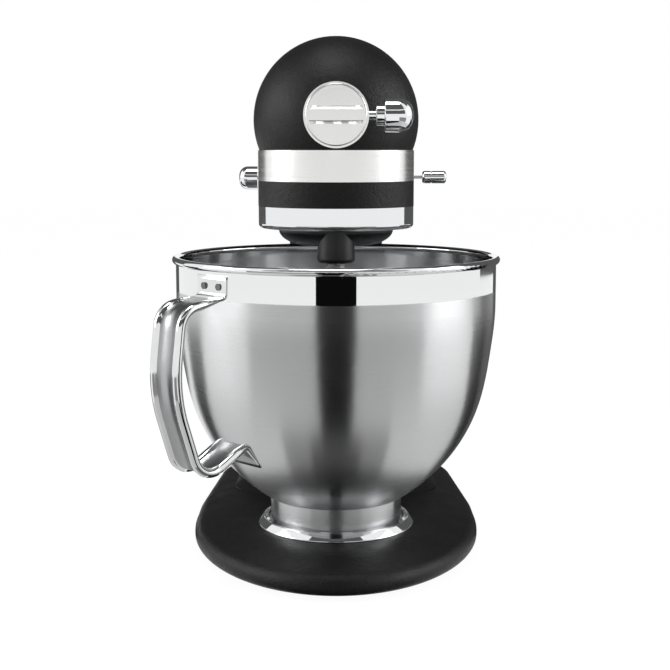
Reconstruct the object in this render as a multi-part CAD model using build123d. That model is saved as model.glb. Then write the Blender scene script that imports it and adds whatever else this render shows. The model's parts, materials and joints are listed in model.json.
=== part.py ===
from build123d import *
import os
from math import acos, atan2, cos, degrees, hypot, pi, radians, sin, sqrt, tan

# A tilt-head stand mixer with its bowl. Every length is in millimetres and +Z is up.
# The pieces are drawn about the bowl's axis (x = 0, y = 0), with the front at -y, and
# the whole is then moved back so that the origin is the middle of its place on the table.
BOWL_AXIS_Y = -68.5

# Fits and clearances
RUNNING_FIT = 0.05
SLIDING_GAP = 0.3
FREE_GAP = 0.5

# Base casting
BASE_HALF_WIDTH = 102.5
BASE_FRONT = 103.0
BASE_WIDEST_Y = 50.0
BASE_STRAIGHT_END = 80.0
BASE_REAR = 233.0
BASE_REAR_HALF_WIDTH = 91.0
BASE_REAR_CORNER = 62.0
BASE_SIDE_ROUND = 150.0
BASE_LOW = 3.0
BASE_TOP = 22.8
BASE_SLOPE_WIDTH = 30.0
BASE_SLOPE_DROP = 8.0
BASE_EDGE_ROUND = 9.0
BASE_DECK_ROUND = 60.0
BASE_HOLLOW_INSET = 25.0
BASE_LOWER_ROUND = 3.5
BASE_WALL = 5.5

# Rubber feet
FOOT_RADIUS = 10.0
FOOT_SEAT = 7.0
FOOT_BOSS_WALL = 4.0
FRONT_FOOT_Y = -78.0
SIDE_FOOT_X = 74.0
SIDE_FOOT_Y = 5.0
REAR_FOOT_X = 62.0
REAR_FOOT_Y = 192.0

# Pedestal
COLUMN_HALF_WIDTH = 36.5
COLUMN_FRONT = 116.0
COLUMN_REAR = 210.0
COLUMN_CORNER = 34.0
COLUMN_TOP = 239.5
COLUMN_WALL = 6.0
COLUMN_CROWN = 40.0
COLUMN_FRONT_CROWN = 13.0
TERRACE_SHARES = (0.13, 0.32, 0.6)
FLARE_SIDE = 41.0
FLARE_FRONT = 46.0
FLARE_REAR = 8.0
FLARE_HEIGHT = 86.0
FLARE_POWER = 3.0
COLUMN_SCREW_X = 44.0
COLUMN_SCREW_FRONT_Y = 110.0
COLUMN_SCREW_REAR_Y = 168.0
COLUMN_SCREW_RADIUS = 3.0
COLUMN_SCREW_HEAD = 6.0
COLUMN_SCREW_HEAD_HEIGHT = 4.0
COLUMN_SCREW_REACH = 14.0

# Tilting hinge between pedestal and head
HINGE_Y = 182.0
HINGE_Z = 225.0
HINGE_PIN_RADIUS = 4.8
HINGE_PIN_INSET = 3.0
TILT_LIMIT = 55.0
LUG_HALF_WIDTH = 20.0
LUG_RADIUS = 13.0
LUG_SLOT_GAP = 1.5
LUG_SLOT_DEPTH = 18.0
SET_SCREW_RADIUS = 2.0
SET_SCREW_X = 29.0

# Height adjusting screw under the head
ADJUST_X = 16.0
ADJUST_Y = 126.0
ADJUST_RADIUS = 4.0
ADJUST_LENGTH = 18.0

# Bowl
BOWL_WALL = 1.3
BOWL_STEPS = 12
BOWL_RIM_RADIUS = 108.0
BOWL_RIM_Z = 206.5
BOWL_BEAD_RADIUS = 2.5
BOWL_STRAIGHT_Z = 176.0
BOWL_SHOULDER = (105.4, 147.0)
BOWL_BELLY = (97.4, 107.0)
BOWL_LOWER = (80.4, 74.5)
BOWL_KNUCKLE = (62.0, 55.0)
BOWL_SEAM_RADIUS = 45.6
BOWL_SEAM_Z = 43.0
BOWL_BOTTOM_Z = 37.0
BOWL_FOOT_LOW_RADIUS = 44.6
BOWL_FOOT_WALL = 1.6

# Bowl clamp plate and its bayonet
PLATE_RIM_HEIGHT = 5.4
PLATE_FLOOR = 2.2
TAB_REACH = 2.0
TAB_THICKNESS = 1.6
TAB_ANGLE = 26.0
LUG_COUNT = 4
FOOT_LUG_REACH = 2.4
FOOT_LUG_THICKNESS = 1.2
FOOT_LUG_ANGLE = 16.0
FOOT_CLEARANCE = 0.8
PLATE_BORE_RADIUS = BOWL_FOOT_LOW_RADIUS + FOOT_LUG_REACH + FOOT_LUG_THICKNESS + FOOT_CLEARANCE
PLATE_RIM_RADIUS = PLATE_BORE_RADIUS + 1.5
PLATE_RADIUS = PLATE_BORE_RADIUS + 5.0
PLATE_SCREW_CIRCLE = 30.0
PLATE_SCREW_RADIUS = 2.5
PLATE_SCREW_HEAD = 4.5
PLATE_SCREW_HEAD_HEIGHT = 2.5
PLATE_SCREW_LENGTH = 12.0

# Bowl handle, a strap bent in one upright plane
HANDLE_AZIMUTH = 225.0
HANDLE_WIDTH = 28.0
HANDLE_STRAP = 2.0
HANDLE_EDGE = 4.4
HANDLE_EDGE_WIDTH = 5.0
HANDLE_PLATE_WIDTH = 33.0
HANDLE_PLATE_HEIGHT = 13.5
HANDLE_PLATE_TOP = 202.0
HANDLE_ARM_OUT = (141.5, 183.0)
HANDLE_GRIP_MID = (148.2, 133.5)
HANDLE_GRIP_LOW = (128.5, 74.2)
HANDLE_TAB_BEND = (92.4, 93.2)
HANDLE_TAB_END = (80.6, 76.6)
HANDLE_BEND_ROUND = 14.0
HANDLE_GRIP_ROUND = 90.0
HANDLE_FOLD_ROUND = 3.0
RIVET_RADIUS = 2.2
RIVET_SPACING = 14.0
RIVET_HEIGHT = 0.8

# Head shell: a bullet turned about a level axis, on a straight-sided lower housing
SHELL_AXIS_Z = 298.8
DRIVE_AXIS_Z = 300.4
NOSE_RADIUS = 55.1
HEAD_SWELL = (45.0, 57.0)
HEAD_WAIST = (120.0, 54.6)
HEAD_TAPER = (165.0, 50.0)
HEAD_TAIL = (205.0, 42.0)
HEAD_REAR = 250.0
HEAD_WALL = 3.5
COVER_SEAM_Y = 195.0
SPLIT_Z = 279.0
OUTLINE_STEPS = 8
OUTLINE_SHARE = 0.75
BAND_LOW_Z = 258.8
BAND_THICKNESS = 0.9
CASE_LOW_Z = 242.0
CASE_WALL = 4.0
CASE_FLOOR = 4.0
CASE_CHIN_ROUND = 11.0
GEAR_FLOOR_LOW = 252.0
GEAR_FLOOR_HIGH = 258.0
GEAR_ROOM_END = 62.0
HOUSING_SCREW_FRONT = (47.5, 57.0)
HOUSING_SCREW_REAR = (39.5, 160.0)
HOUSING_BOSS_RADIUS = 5.0
HOUSING_BOSS_HEIGHT = 15.0
HOUSING_SCREW_RADIUS = 2.0
HOUSING_SCREW_HEAD = 3.8
HOUSING_SCREW_HEAD_HEIGHT = 3.5
HOUSING_SCREW_RECESS = 10.0

# Drip ring under the nose
DRIP_LOW_Z = 227.4
DRIP_INNER_RADIUS = 48.5
DRIP_EDGE_ROUND = 3.2
DRIP_FLANGE = 3.0
DRIP_FLANGE_BORE = 43.0

# Planetary gearing
BEATER_OFFSET = 28.0
RING_TEETH = 56
BEATER_TEETH = 16
PLANET_MODULE = 1.4
RING_OUTER_RADIUS = 46.0
PINION_HEIGHT = 9.0
PLANET_BACKLASH = 0.35
CARRIER_RADIUS = 38.5
CARRIER_NECK_RADIUS = 36.0
CARRIER_TOP_Z = 236.5
CARRIER_LOW_Z = 215.5
CARRIER_ROUND_WIDTH = 20.0
CARRIER_ROUND_HEIGHT = 10.5
CARRIER_PIN_RADIUS = 2.0
BOSS_TOP_RADIUS = 11.6
BOSS_RADIUS = 12.65
BOSS_LOW_Z = 205.7
BOSS_ROUND = 2.5
PINION_SEAT_RADIUS = 8.5

# Beater shaft
BEATER_SHAFT_RADIUS = 6.35
BEATER_SHAFT_LOW_Z = 163.0
BEATER_TIP_CHAMFER = 1.2
BEATER_GROOVE_WIDTH = 1.5
BEATER_GROOVE_DEPTH = 0.5
CROSS_PIN_RADIUS = 2.4
CROSS_PIN_LENGTH = 21.0
CROSS_PIN_DROP = 13.0

# Centre shaft and gear
CENTRE_SHAFT_RADIUS = 6.0
CENTRE_SHAFT_LOW_Z = 217.0
CENTRE_SHAFT_HIGH_Z = 286.0
CENTRE_BUSH_RADIUS = 9.0
CENTRE_BUSH_BOSS = 13.5
CENTRE_BUSH_LOW_Z = 240.0
CENTRE_TEETH = 40
GEAR_MODULE = 1.5
GEAR_BACKLASH = 0.35
CENTRE_GEAR_LOW_Z = 261.0
CENTRE_GEAR_HEIGHT = 10.0
BEVEL_TEETH = 20
BEVEL_FACE = 4.5
BEVEL_BACKING = 4.0
BEVEL_BACKLASH = 0.45

# Intermediate shaft, with worm wheel and pinion
INTER_PINION_TEETH = 14
INTER_SHAFT_RADIUS = 4.5
INTER_BUSH_RADIUS = 7.5
INTER_SHAFT_HIGH_Z = 316.0
WORM_STARTS = 2
WORM_RADIUS = 8.0
WORM_LENGTH = 26.0
WHEEL_TEETH = 26
WHEEL_WIDTH = 9.0
WHEEL_HUB_RADIUS = 10.0
WORM_TOOTH_TOP = 0.95
WORM_TOOTH_ROOT = 1.2
WHEEL_PHASE = 0.25

# Motor
MOTOR_SHAFT_RADIUS = 5.0
MOTOR_SHAFT_FRONT = 13.0
MOTOR_SHAFT_REAR = 178.0
FRONT_BEARING_Y = 51.5
REAR_BEARING_Y = 166.0
BEARING_WIDTH = 8.0
BEARING_RADIUS = 13.0
BRACKET_HALF_WIDTH = 34.0
BRACKET_RADIUS = 45.0
FRONT_BRACKET_ARM_LOW = 307.0
FRONT_BRACKET_ARM_HIGH = 314.0
FRONT_BRACKET_ARM_HALF = 9.0
REAR_BRACKET_HALF_WIDTH = 26.0
REAR_BRACKET_RADIUS = 36.0
FAN_Y = 61.0
FAN_DEPTH = 9.0
FAN_RADIUS = 34.0
FAN_HUB_RADIUS = 11.0
FAN_PLATE = 2.0
FAN_BLADES = 12
FAN_BLADE_THICKNESS = 1.6
STATOR_FRONT = 77.0
STATOR_LENGTH = 49.0
STATOR_RADIUS = 38.0
STATOR_BORE_RADIUS = 25.5
WINDING_LENGTH = 5.0
WINDING_RADIUS = 35.0
WINDING_BORE_RADIUS = 27.0
ARMATURE_RADIUS = 24.5
CRADLE_FRONT_Y = 101.0
CRADLE_REAR_Y = 117.0
CRADLE_THICKNESS = 6.0
CRADLE_INNER_X = 12.0
CRADLE_OUTER_X = 27.0
COMMUTATOR_Y = 138.0
COMMUTATOR_LENGTH = 18.0
COMMUTATOR_RADIUS = 14.0
BRUSH_Y = 147.0
BRUSH_HALF_WIDTH = 3.5
BRUSH_HALF_HEIGHT = 4.5
BRUSH_REACH = 40.0
BRUSH_HOLDER_RADIUS = 8.0
BRUSH_HOLDER_IN = 18.0
BRUSH_CAP_RADIUS = 9.5
BRUSH_CAP_HEIGHT = 2.0
BOARD_Y = 184.0
BOARD_THICKNESS = 2.0
BOARD_HALF_WIDTH = 22.0
BOARD_HALF_HEIGHT = 20.0

# Attachment hub on the nose
HUB_FRONT = -76.0
HUB_SEAT_DEPTH = 4.6
HUB_SEAT = HUB_SEAT_DEPTH - NOSE_RADIUS
HUB_RADIUS = 20.2
HUB_SPIGOT_RADIUS = 17.0
HUB_SPIGOT_REAR = -44.0
HUB_BORE_RADIUS = 13.6
HUB_BORE_REAR = -55.0
HUB_SHAFT_RADIUS = 8.0
HUB_BUSH_RADIUS = 11.0
HUB_SOCKET_HALF = 4.1
HUB_SOCKET_DEPTH = 18.0
HUB_COVER_RADIUS = 19.0
HUB_COVER_DEPTH = 5.8
HUB_COVER_RECESS = 2.0
HUB_COVER_RIM = 2.1
HUB_COVER_BAR = 6.9
HUB_COVER_BEVEL = 2.1
HUB_PLUG_DEPTH = 16.0

# Attachment thumb knob on the hub's side
KNOB_Y = -66.0
KNOB_SCREW_RADIUS = 3.0
KNOB_SCREW_IN = 14.3
KNOB_COLLAR_IN = 24.4
KNOB_COLLAR_RADIUS = 6.7
KNOB_IN = 29.7
KNOB_OUT = 48.0
KNOB_RADIUS = 10.6
KNOB_DOME = 9.6

# Levers in the head's sides
LEVER_Z = 259.0
LEVER_THICKNESS = 2.2
SPEED_Y = 100.0
SPEED_TRAVEL = 32.0
SPEED_STEM_WIDTH = 8.0
SPEED_KNOB_IN = 64.4
SPEED_KNOB_OUT = 82.3
SPEED_KNOB_RADIUS = 4.6
SPEED_GROOVE_FROM_END = 6.4
SPEED_GROOVE_WIDTH = 0.8
SPEED_GROOVE_DEPTH = 0.5
SPEED_BAR_X = 40.0
SPEED_BAR_THICKNESS = 2.5
SPEED_BAR_LENGTH = 26.0
SPEED_BAR_HEIGHT = 10.0
LOCK_Y = 76.0
LOCK_TRAVEL = 15.0
LOCK_STEM_WIDTH = 10.0
LOCK_KNOB_IN = 57.0
LOCK_KNOB_OUT = 70.5
LOCK_KNOB_RADIUS = 8.3
LOCK_BOLT_RADIUS = 3.5
LOCK_BOLT_Z = 251.5
LOCK_BOLT_TIP = 129.0
LOCK_LEG_X = 44.0
CATCH_Y = 140.0
CATCH_THICKNESS = 8.0
CATCH_HALF_WIDTH = 6.0
CATCH_TOP_Z = 257.0
CATCH_FLANGE = 3.0
CATCH_FLANGE_REACH = 9.0

# Cord gland and cover screws at the rear
GLAND_RADIUS = 6.0
GLAND_FLANGE_RADIUS = 9.0
GLAND_Z = 281.0
GLAND_BORE_RADIUS = 3.6
GLAND_SEAT_Y = 239.0
GLAND_DEPTH = 6.0
COVER_SCREW_X = 16.0
COVER_SCREW_Z = 313.0
COVER_SCREW_RADIUS = 2.2
COVER_SCREW_HEAD = 4.2
COVER_SCREW_SEAT_Y = 232.0
COVER_POST_RADIUS = 4.5

# Shapes made from these sizes
PRESSURE_ANGLE = radians(20.0)
BALL_FACE = 1.0
BIG = 500.0


def upright(radius, low, high, x=0.0, y=0.0):
    """A round bar standing between two heights."""
    return Pos(x, y, (low + high) / 2) * Cylinder(radius, high - low)


def bar_y(radius, front, rear, x=0.0, z=DRIVE_AXIS_Z):
    """A round bar lying front to back."""
    return Pos(x, (front + rear) / 2, z) * Rot(90, 0, 0) * Cylinder(radius, rear - front)


def bar_x(radius, left, right, y, z):
    """A round bar lying side to side."""
    return Pos((left + right) / 2, y, z) * Rot(0, 90, 0) * Cylinder(radius, right - left)


def block(left, right, front, rear, low, high):
    """A plain block between two corners."""
    middle = Pos((left + right) / 2, (front + rear) / 2, (low + high) / 2)
    return middle * Box(right - left, rear - front, high - low)


def ring_y(outer, inner, front, rear):
    """A round sleeve on the head's axis."""
    return bar_y(outer, front, rear) - bar_y(inner, front - 1, rear + 1)


def turned(*outline):
    """A solid turned about the bowl's axis from (radius, height) corners."""
    return revolve(Plane.XZ * make_face(Polyline(*outline, close=True)), Axis.Z)


def mirrored(shape):
    """A shape together with its mirror image in the middle plane."""
    return shape + mirror(shape, Plane.YZ)


# Base casting and its feet
def base_outline(inset=0.0):
    """The base seen from above, a half ellipse in front and rounded corners behind."""
    half = BASE_HALF_WIDTH - inset
    rear_half = BASE_REAR_HALF_WIDTH - inset
    rear = BASE_REAR - inset
    corner = BASE_REAR_CORNER - inset
    reach = BASE_FRONT + BASE_WIDEST_Y - inset
    front = EllipticalCenterArc((0, BASE_WIDEST_Y), half, reach, 180, arc_size=180)
    sides = FilletPolyline(
        (half, BASE_WIDEST_Y),
        (half, BASE_STRAIGHT_END),
        (rear_half, rear),
        (-rear_half, rear),
        (-half, BASE_STRAIGHT_END),
        (-half, BASE_WIDEST_Y),
        radius=[BASE_SIDE_ROUND, corner, corner, BASE_SIDE_ROUND],
    )
    return make_face(front.edges() + sides.edges())


def foot_spots():
    """Where the five feet stand, seen from above."""
    sides = [(x, SIDE_FOOT_Y) for x in (-SIDE_FOOT_X, SIDE_FOOT_X)]
    rears = [(x, REAR_FOOT_Y) for x in (-REAR_FOOT_X, REAR_FOOT_X)]
    return [(0.0, FRONT_FOOT_Y)] + sides + rears


def plate_screw_spots():
    """Where the clamp plate's screws stand, on a circle about the bowl's axis."""
    turns = [radians(45.0 + 90.0 * n) for n in range(LUG_COUNT)]
    return [(PLATE_SCREW_CIRCLE * cos(a), PLATE_SCREW_CIRCLE * sin(a)) for a in turns]


def column_screw_spots():
    """Where the screws that hold the pedestal stand."""
    rows = (COLUMN_SCREW_FRONT_Y, COLUMN_SCREW_REAR_Y)
    return [(x, y) for x in (-COLUMN_SCREW_X, COLUMN_SCREW_X) for y in rows]


def base_blank():
    """The base before it is hollowed: a deck that slopes down to a rounded edge all round."""
    body = Pos(0, 0, BASE_LOW) * extrude(base_outline(), BASE_TOP - BASE_LOW)
    rim = body.edges().group_by(Axis.Z)[-1]
    deck = body.faces().sort_by(Axis.Z)[-1]
    body = chamfer(rim, BASE_SLOPE_WIDTH, BASE_SLOPE_DROP, reference=deck)
    body = fillet(body.edges().group_by(Axis.Z)[-1], BASE_DECK_ROUND)
    edge_height = BASE_TOP - BASE_SLOPE_DROP
    edge = body.edges().filter_by_position(Axis.Z, edge_height - BALL_FACE, edge_height + BALL_FACE)
    body = fillet(edge, BASE_EDGE_ROUND)
    return fillet(body.edges().group_by(Axis.Z)[0], BASE_LOWER_ROUND)


def base_casting():
    """The hollow base with bosses for feet and screws."""
    body = base_blank()
    hollow_height = BASE_TOP - BASE_WALL - BASE_LOW
    hollow = Pos(0, 0, BASE_LOW) * extrude(base_outline(BASE_HOLLOW_INSET), hollow_height)
    for x, y in foot_spots():
        hollow -= upright(FOOT_RADIUS + FOOT_BOSS_WALL, 0, BASE_TOP, x, y)
    for x, y in plate_screw_spots():
        hollow -= upright(PLATE_SCREW_RADIUS + FOOT_BOSS_WALL, 0, BASE_TOP, x, y)
    body -= hollow
    for x, y in foot_spots():
        body -= upright(FOOT_RADIUS, 0, FOOT_SEAT, x, y)
    for x, y in plate_screw_spots():
        low = BASE_TOP + PLATE_FLOOR - PLATE_SCREW_LENGTH
        body -= upright(PLATE_SCREW_RADIUS, low, BASE_TOP, x, y)
    for x, y in column_screw_spots():
        body -= upright(COLUMN_SCREW_RADIUS, 0, BASE_TOP, x, y)
    return body


def rubber_feet():
    """Five round feet with a rounded tread."""
    feet = []
    for x, y in foot_spots():
        foot = upright(FOOT_RADIUS, 0, FOOT_SEAT, x, y)
        feet.append(fillet(foot.edges().group_by(Axis.Z)[0], BALL_FACE))
    return feet


# Pedestal
def column_section(height, inset=0.0):
    """A level slice of the pedestal, wider towards the base, or of its inside."""
    fade = max(0.0, 1 - (height - BASE_TOP) / FLARE_HEIGHT) ** FLARE_POWER
    half = COLUMN_HALF_WIDTH + FLARE_SIDE * fade - inset
    front = COLUMN_FRONT - FLARE_FRONT * fade + inset
    rear = COLUMN_REAR + FLARE_REAR * fade - inset
    slice_shape = RectangleRounded(2 * half, rear - front, COLUMN_CORNER - inset)
    return (Pos(0, (front + rear) / 2, height) * slice_shape).face()


def column_cavity():
    """The pedestal's inside: stepped under the flare, and higher in front of the hinge."""
    neck = BASE_TOP + FLARE_HEIGHT
    high = COLUMN_TOP - COLUMN_CROWN
    shaft = extrude(column_section(neck, COLUMN_WALL), high - BASE_TOP, dir=(0, 0, 1))
    inside = Pos(0, 0, BASE_TOP - neck) * shaft
    for share in TERRACE_SHARES:
        height = BASE_TOP + share * FLARE_HEIGHT
        inside += extrude(column_section(height, COLUMN_WALL), height - BASE_TOP, dir=(0, 0, -1))
    boss_top = BASE_TOP + COLUMN_SCREW_REACH + COLUMN_WALL
    for x, y in column_screw_spots():
        inside -= upright(COLUMN_SCREW_RADIUS + COLUMN_WALL, 0, boss_top, x, y)
    front = COLUMN_FRONT + 2 * COLUMN_WALL
    rear = HINGE_Y - LUG_RADIUS - LUG_SLOT_GAP - COLUMN_WALL
    half = COLUMN_HALF_WIDTH - 2 * COLUMN_WALL
    pocket = block(-half, half, front, rear, high - 1, COLUMN_TOP - COLUMN_FRONT_CROWN)
    return inside + pocket - upright(ADJUST_RADIUS + COLUMN_WALL, high, COLUMN_TOP, ADJUST_X, ADJUST_Y)


def hinge_clearance():
    """The room behind the hinge that the head's flat underside sweeps as it tilts."""
    reach = CASE_LOW_Z - HINGE_Z - FREE_GAP
    turn = radians(90.0 - TILT_LIMIT)
    touch = (HINGE_Y + reach * cos(turn), HINGE_Z + reach * sin(turn))
    mid_turn = (turn + pi / 2) / 2
    middle = (HINGE_Y + reach * cos(mid_turn), HINGE_Z + reach * sin(mid_turn))
    top = (HINGE_Y, HINGE_Z + reach)
    drop = 2 * COLUMN_HALF_WIDTH
    foot = (touch[0] + drop * sin(turn), touch[1] - drop * cos(turn))
    outline = [
        ThreePointArc(top, middle, touch),
        Line(touch, foot),
        Line(foot, (BIG, foot[1])),
        Line((BIG, foot[1]), (BIG, BIG)),
        Line((BIG, BIG), (HINGE_Y, BIG)),
        Line((HINGE_Y, BIG), top),
    ]
    face = Plane.YZ * make_face(outline)
    return extrude(face, BIG, both=True)


def lug_shape(radius, half_width):
    """The hinge lug: a round end about the pin and a web up to the head."""
    knuckle = bar_x(radius, -half_width, half_width, HINGE_Y, HINGE_Z)
    web = block(-half_width, half_width, HINGE_Y - radius, HINGE_Y + radius, HINGE_Z, CASE_LOW_Z)
    return knuckle + web


def pedestal():
    """The hollow column, flared into the base, with a forked top for the hinge lug."""
    neck = BASE_TOP + FLARE_HEIGHT
    steps = [0.0, 0.12, 0.32, 0.6, 1.0]
    body = loft([column_section(BASE_TOP + FLARE_HEIGHT * step) for step in steps])
    body += extrude(column_section(neck), COLUMN_TOP - neck, dir=(0, 0, 1))
    body += extrude(column_section(BASE_TOP), BASE_SLOPE_DROP, dir=(0, 0, -1)) - base_blank()
    body -= column_cavity()
    body -= hinge_clearance()
    slot_half = LUG_HALF_WIDTH + LUG_SLOT_GAP
    slot_front = HINGE_Y - LUG_RADIUS - LUG_SLOT_GAP - FREE_GAP
    body -= block(-slot_half, slot_half, slot_front, BIG, HINGE_Z - LUG_SLOT_DEPTH, BIG)
    body -= bar_x(HINGE_PIN_RADIUS, -BIG, BIG, HINGE_Y, HINGE_Z)
    body -= upright(SET_SCREW_RADIUS, HINGE_Z, BIG, SET_SCREW_X, HINGE_Y)
    body -= upright(ADJUST_RADIUS, CASE_LOW_Z - ADJUST_LENGTH, BIG, ADJUST_X, ADJUST_Y)
    for x, y in column_screw_spots():
        body -= upright(COLUMN_SCREW_RADIUS, BASE_TOP, BASE_TOP + COLUMN_SCREW_REACH, x, y)
    return body


def hinge_pin():
    """The pin that the head tilts on."""
    half = COLUMN_HALF_WIDTH - HINGE_PIN_INSET
    pin = bar_x(HINGE_PIN_RADIUS, -half, half, HINGE_Y, HINGE_Z)
    return pin - upright(SET_SCREW_RADIUS, HINGE_Z, BIG, SET_SCREW_X, HINGE_Y)


def pin_set_screw():
    """The grub screw that keeps the pin in the pedestal."""
    top = CASE_LOW_Z - 2 * FREE_GAP - BALL_FACE
    return upright(SET_SCREW_RADIUS, HINGE_Z, top, SET_SCREW_X, HINGE_Y)


def pedestal_screws():
    """Four bolts up through the base into the pedestal."""
    under = BASE_TOP - BASE_WALL
    bolts = []
    for x, y in column_screw_spots():
        bolt = upright(COLUMN_SCREW_RADIUS, under, BASE_TOP + COLUMN_SCREW_REACH, x, y)
        bolts.append(bolt + upright(COLUMN_SCREW_HEAD, under - COLUMN_SCREW_HEAD_HEIGHT, under, x, y))
    return bolts


def height_adjust_screw():
    """The screw that the head's underside rests on."""
    low = CASE_LOW_Z - ADJUST_LENGTH
    screw = upright(ADJUST_RADIUS, low, CASE_LOW_Z, ADJUST_X, ADJUST_Y)
    return screw


def lock_catch():
    """The post on the pedestal that the lock bolt enters."""
    front = CATCH_Y - CATCH_THICKNESS / 2
    rear = CATCH_Y + CATCH_THICKNESS / 2
    post = block(-CATCH_HALF_WIDTH, CATCH_HALF_WIDTH, front, rear, COLUMN_TOP, CATCH_TOP_Z)
    reach = CATCH_HALF_WIDTH + CATCH_FLANGE_REACH
    foot = block(-reach, reach, front, rear, COLUMN_TOP - CATCH_FLANGE, COLUMN_TOP)
    hole = bar_y(LOCK_BOLT_RADIUS + SLIDING_GAP, front - 1, rear + 1, 0, LOCK_BOLT_Z)
    return post + foot - hole


def catch_seat():
    """The pocket in the pedestal's top that takes the catch's foot."""
    half = CATCH_THICKNESS / 2
    reach = CATCH_HALF_WIDTH + CATCH_FLANGE_REACH
    return block(-reach, reach, CATCH_Y - half, CATCH_Y + half, COLUMN_TOP - CATCH_FLANGE, BIG)


# Bowl clamp plate
def sector(outer, inner, low, high, middle, width):
    """Part of an upright ring, given by its middle direction and its angle."""
    ring = upright(outer, low, high) - upright(inner, low - 1, high + 1)
    reach = 2 * outer
    first = radians(middle - width / 2)
    last = radians(middle + width / 2)
    corners = [(0, 0), (reach * cos(first), reach * sin(first)), (reach * cos(last), reach * sin(last))]
    wedge = Pos(0, 0, low) * extrude(make_face(Polyline(*corners, close=True)), high - low)
    return ring & wedge


def lug_directions():
    """The bayonet's directions, spaced evenly from the handle's."""
    return [HANDLE_AZIMUTH + 360.0 / LUG_COUNT * (n + 0.5) for n in range(LUG_COUNT)]


def plate_top():
    return BASE_TOP + PLATE_RIM_HEIGHT


def bowl_clamp_plate():
    """A dished plate with a sloping rim and inward tabs for the bowl's foot."""
    floor_top = BASE_TOP + PLATE_FLOOR
    plate = turned(
        (0, BASE_TOP),
        (PLATE_RADIUS, BASE_TOP),
        (PLATE_RADIUS, BASE_TOP + BALL_FACE),
        (PLATE_RIM_RADIUS, plate_top()),
        (PLATE_BORE_RADIUS, plate_top()),
        (PLATE_BORE_RADIUS, floor_top),
        (0, floor_top),
    )
    tab_low = plate_top() - TAB_THICKNESS
    for direction in lug_directions():
        inner = PLATE_BORE_RADIUS - TAB_REACH
        plate += sector(PLATE_BORE_RADIUS, inner, tab_low, plate_top(), direction, TAB_ANGLE)
    for x, y in plate_screw_spots():
        plate -= upright(PLATE_SCREW_RADIUS, BASE_TOP, floor_top, x, y)
    return plate


def clamp_plate_screws():
    """Four round-headed screws in the clamp plate."""
    top = BASE_TOP + PLATE_FLOOR
    screws = []
    for x, y in plate_screw_spots():
        screw = upright(PLATE_SCREW_RADIUS, top - PLATE_SCREW_LENGTH, top, x, y)
        head = upright(PLATE_SCREW_HEAD, top, top + PLATE_SCREW_HEAD_HEIGHT, x, y)
        screws.append(screw + fillet(head.edges().group_by(Axis.Z)[-1], BALL_FACE))
    return screws


# Bowl
def bowl_belly():
    """The bowl's curved outer line from its straight wall to the bottom, as (radius, height)."""
    return Spline(
        (BOWL_RIM_RADIUS, BOWL_STRAIGHT_Z),
        BOWL_SHOULDER,
        BOWL_BELLY,
        BOWL_LOWER,
        BOWL_KNUCKLE,
        (BOWL_SEAM_RADIUS, BOWL_SEAM_Z),
        (0, BOWL_BOTTOM_Z),
        tangents=((0, -1), (-1, 0)),
    )


def bowl_inner_belly():
    """The belly's inner line, one wall inside the outer one."""
    outer = bowl_belly()
    points = [(BOWL_RIM_RADIUS - BOWL_WALL, BOWL_STRAIGHT_Z)]
    for step in range(1, BOWL_STEPS):
        spot = outer @ (step / BOWL_STEPS)
        along = outer % (step / BOWL_STEPS)
        points.append((spot.X + BOWL_WALL * along.Y, spot.Y - BOWL_WALL * along.X))
    points.append((0, BOWL_BOTTOM_Z + BOWL_WALL))
    return Spline(*points, tangents=((0, -1), (-1, 0)))


def bowl_turned(belly, top):
    """A full solid of revolution from a belly line and a straight wall up to a height."""
    start = belly @ 0
    end = belly @ 1
    wall = Polyline((end.X, end.Y), (0, top), (start.X, top), (start.X, start.Y))
    return revolve(Plane.XZ * make_face(belly.edges() + wall.edges()), Axis.Z)


def bowl_filled():
    """The bowl's outside as one full solid, which other pieces are fitted to."""
    return bowl_turned(bowl_belly(), BOWL_RIM_Z)


def bowl_shell():
    """The bowl, a thin turned sheet with a rolled rim."""
    shell = bowl_filled() - bowl_turned(bowl_inner_belly(), BOWL_RIM_Z + BOWL_BEAD_RADIUS)
    bead = Pos(0, 0, BOWL_RIM_Z) * Torus(BOWL_RIM_RADIUS, BOWL_BEAD_RADIUS)
    return shell + bead


def bowl_foot():
    """The foot ring under the bowl, with bayonet lugs at its lower edge."""
    low = BASE_TOP + PLATE_FLOOR
    over = BOWL_SEAM_Z + BOWL_FOOT_WALL
    ring = turned(
        (BOWL_FOOT_LOW_RADIUS, low),
        (BOWL_SEAM_RADIUS, over),
        (BOWL_SEAM_RADIUS - BOWL_FOOT_WALL, over),
        (BOWL_FOOT_LOW_RADIUS - BOWL_FOOT_WALL, low),
    )
    ring -= bowl_filled()
    outer = BOWL_FOOT_LOW_RADIUS + FOOT_LUG_REACH + FOOT_LUG_THICKNESS
    inner = BOWL_FOOT_LOW_RADIUS - BOWL_FOOT_WALL / 2
    for direction in lug_directions():
        ring += sector(outer, inner, low, low + FOOT_LUG_THICKNESS, direction, FOOT_LUG_ANGLE)
    return ring


def handle_bends():
    """The bend radii of the arm, the grip and the lower arm."""
    return [HANDLE_BEND_ROUND, HANDLE_GRIP_ROUND, HANDLE_BEND_ROUND]


def handle_line():
    """The strap's path in its own upright plane, as (radius, height)."""
    fold_radius = BOWL_RIM_RADIUS + HANDLE_STRAP / 2
    return FilletPolyline(
        (fold_radius, HANDLE_PLATE_TOP),
        (fold_radius, HANDLE_PLATE_TOP - HANDLE_PLATE_HEIGHT),
        HANDLE_ARM_OUT,
        HANDLE_GRIP_MID,
        HANDLE_GRIP_LOW,
        HANDLE_TAB_BEND,
        HANDLE_TAB_END,
        radius=[HANDLE_FOLD_ROUND] + handle_bends() + [HANDLE_FOLD_ROUND],
    )


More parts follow.
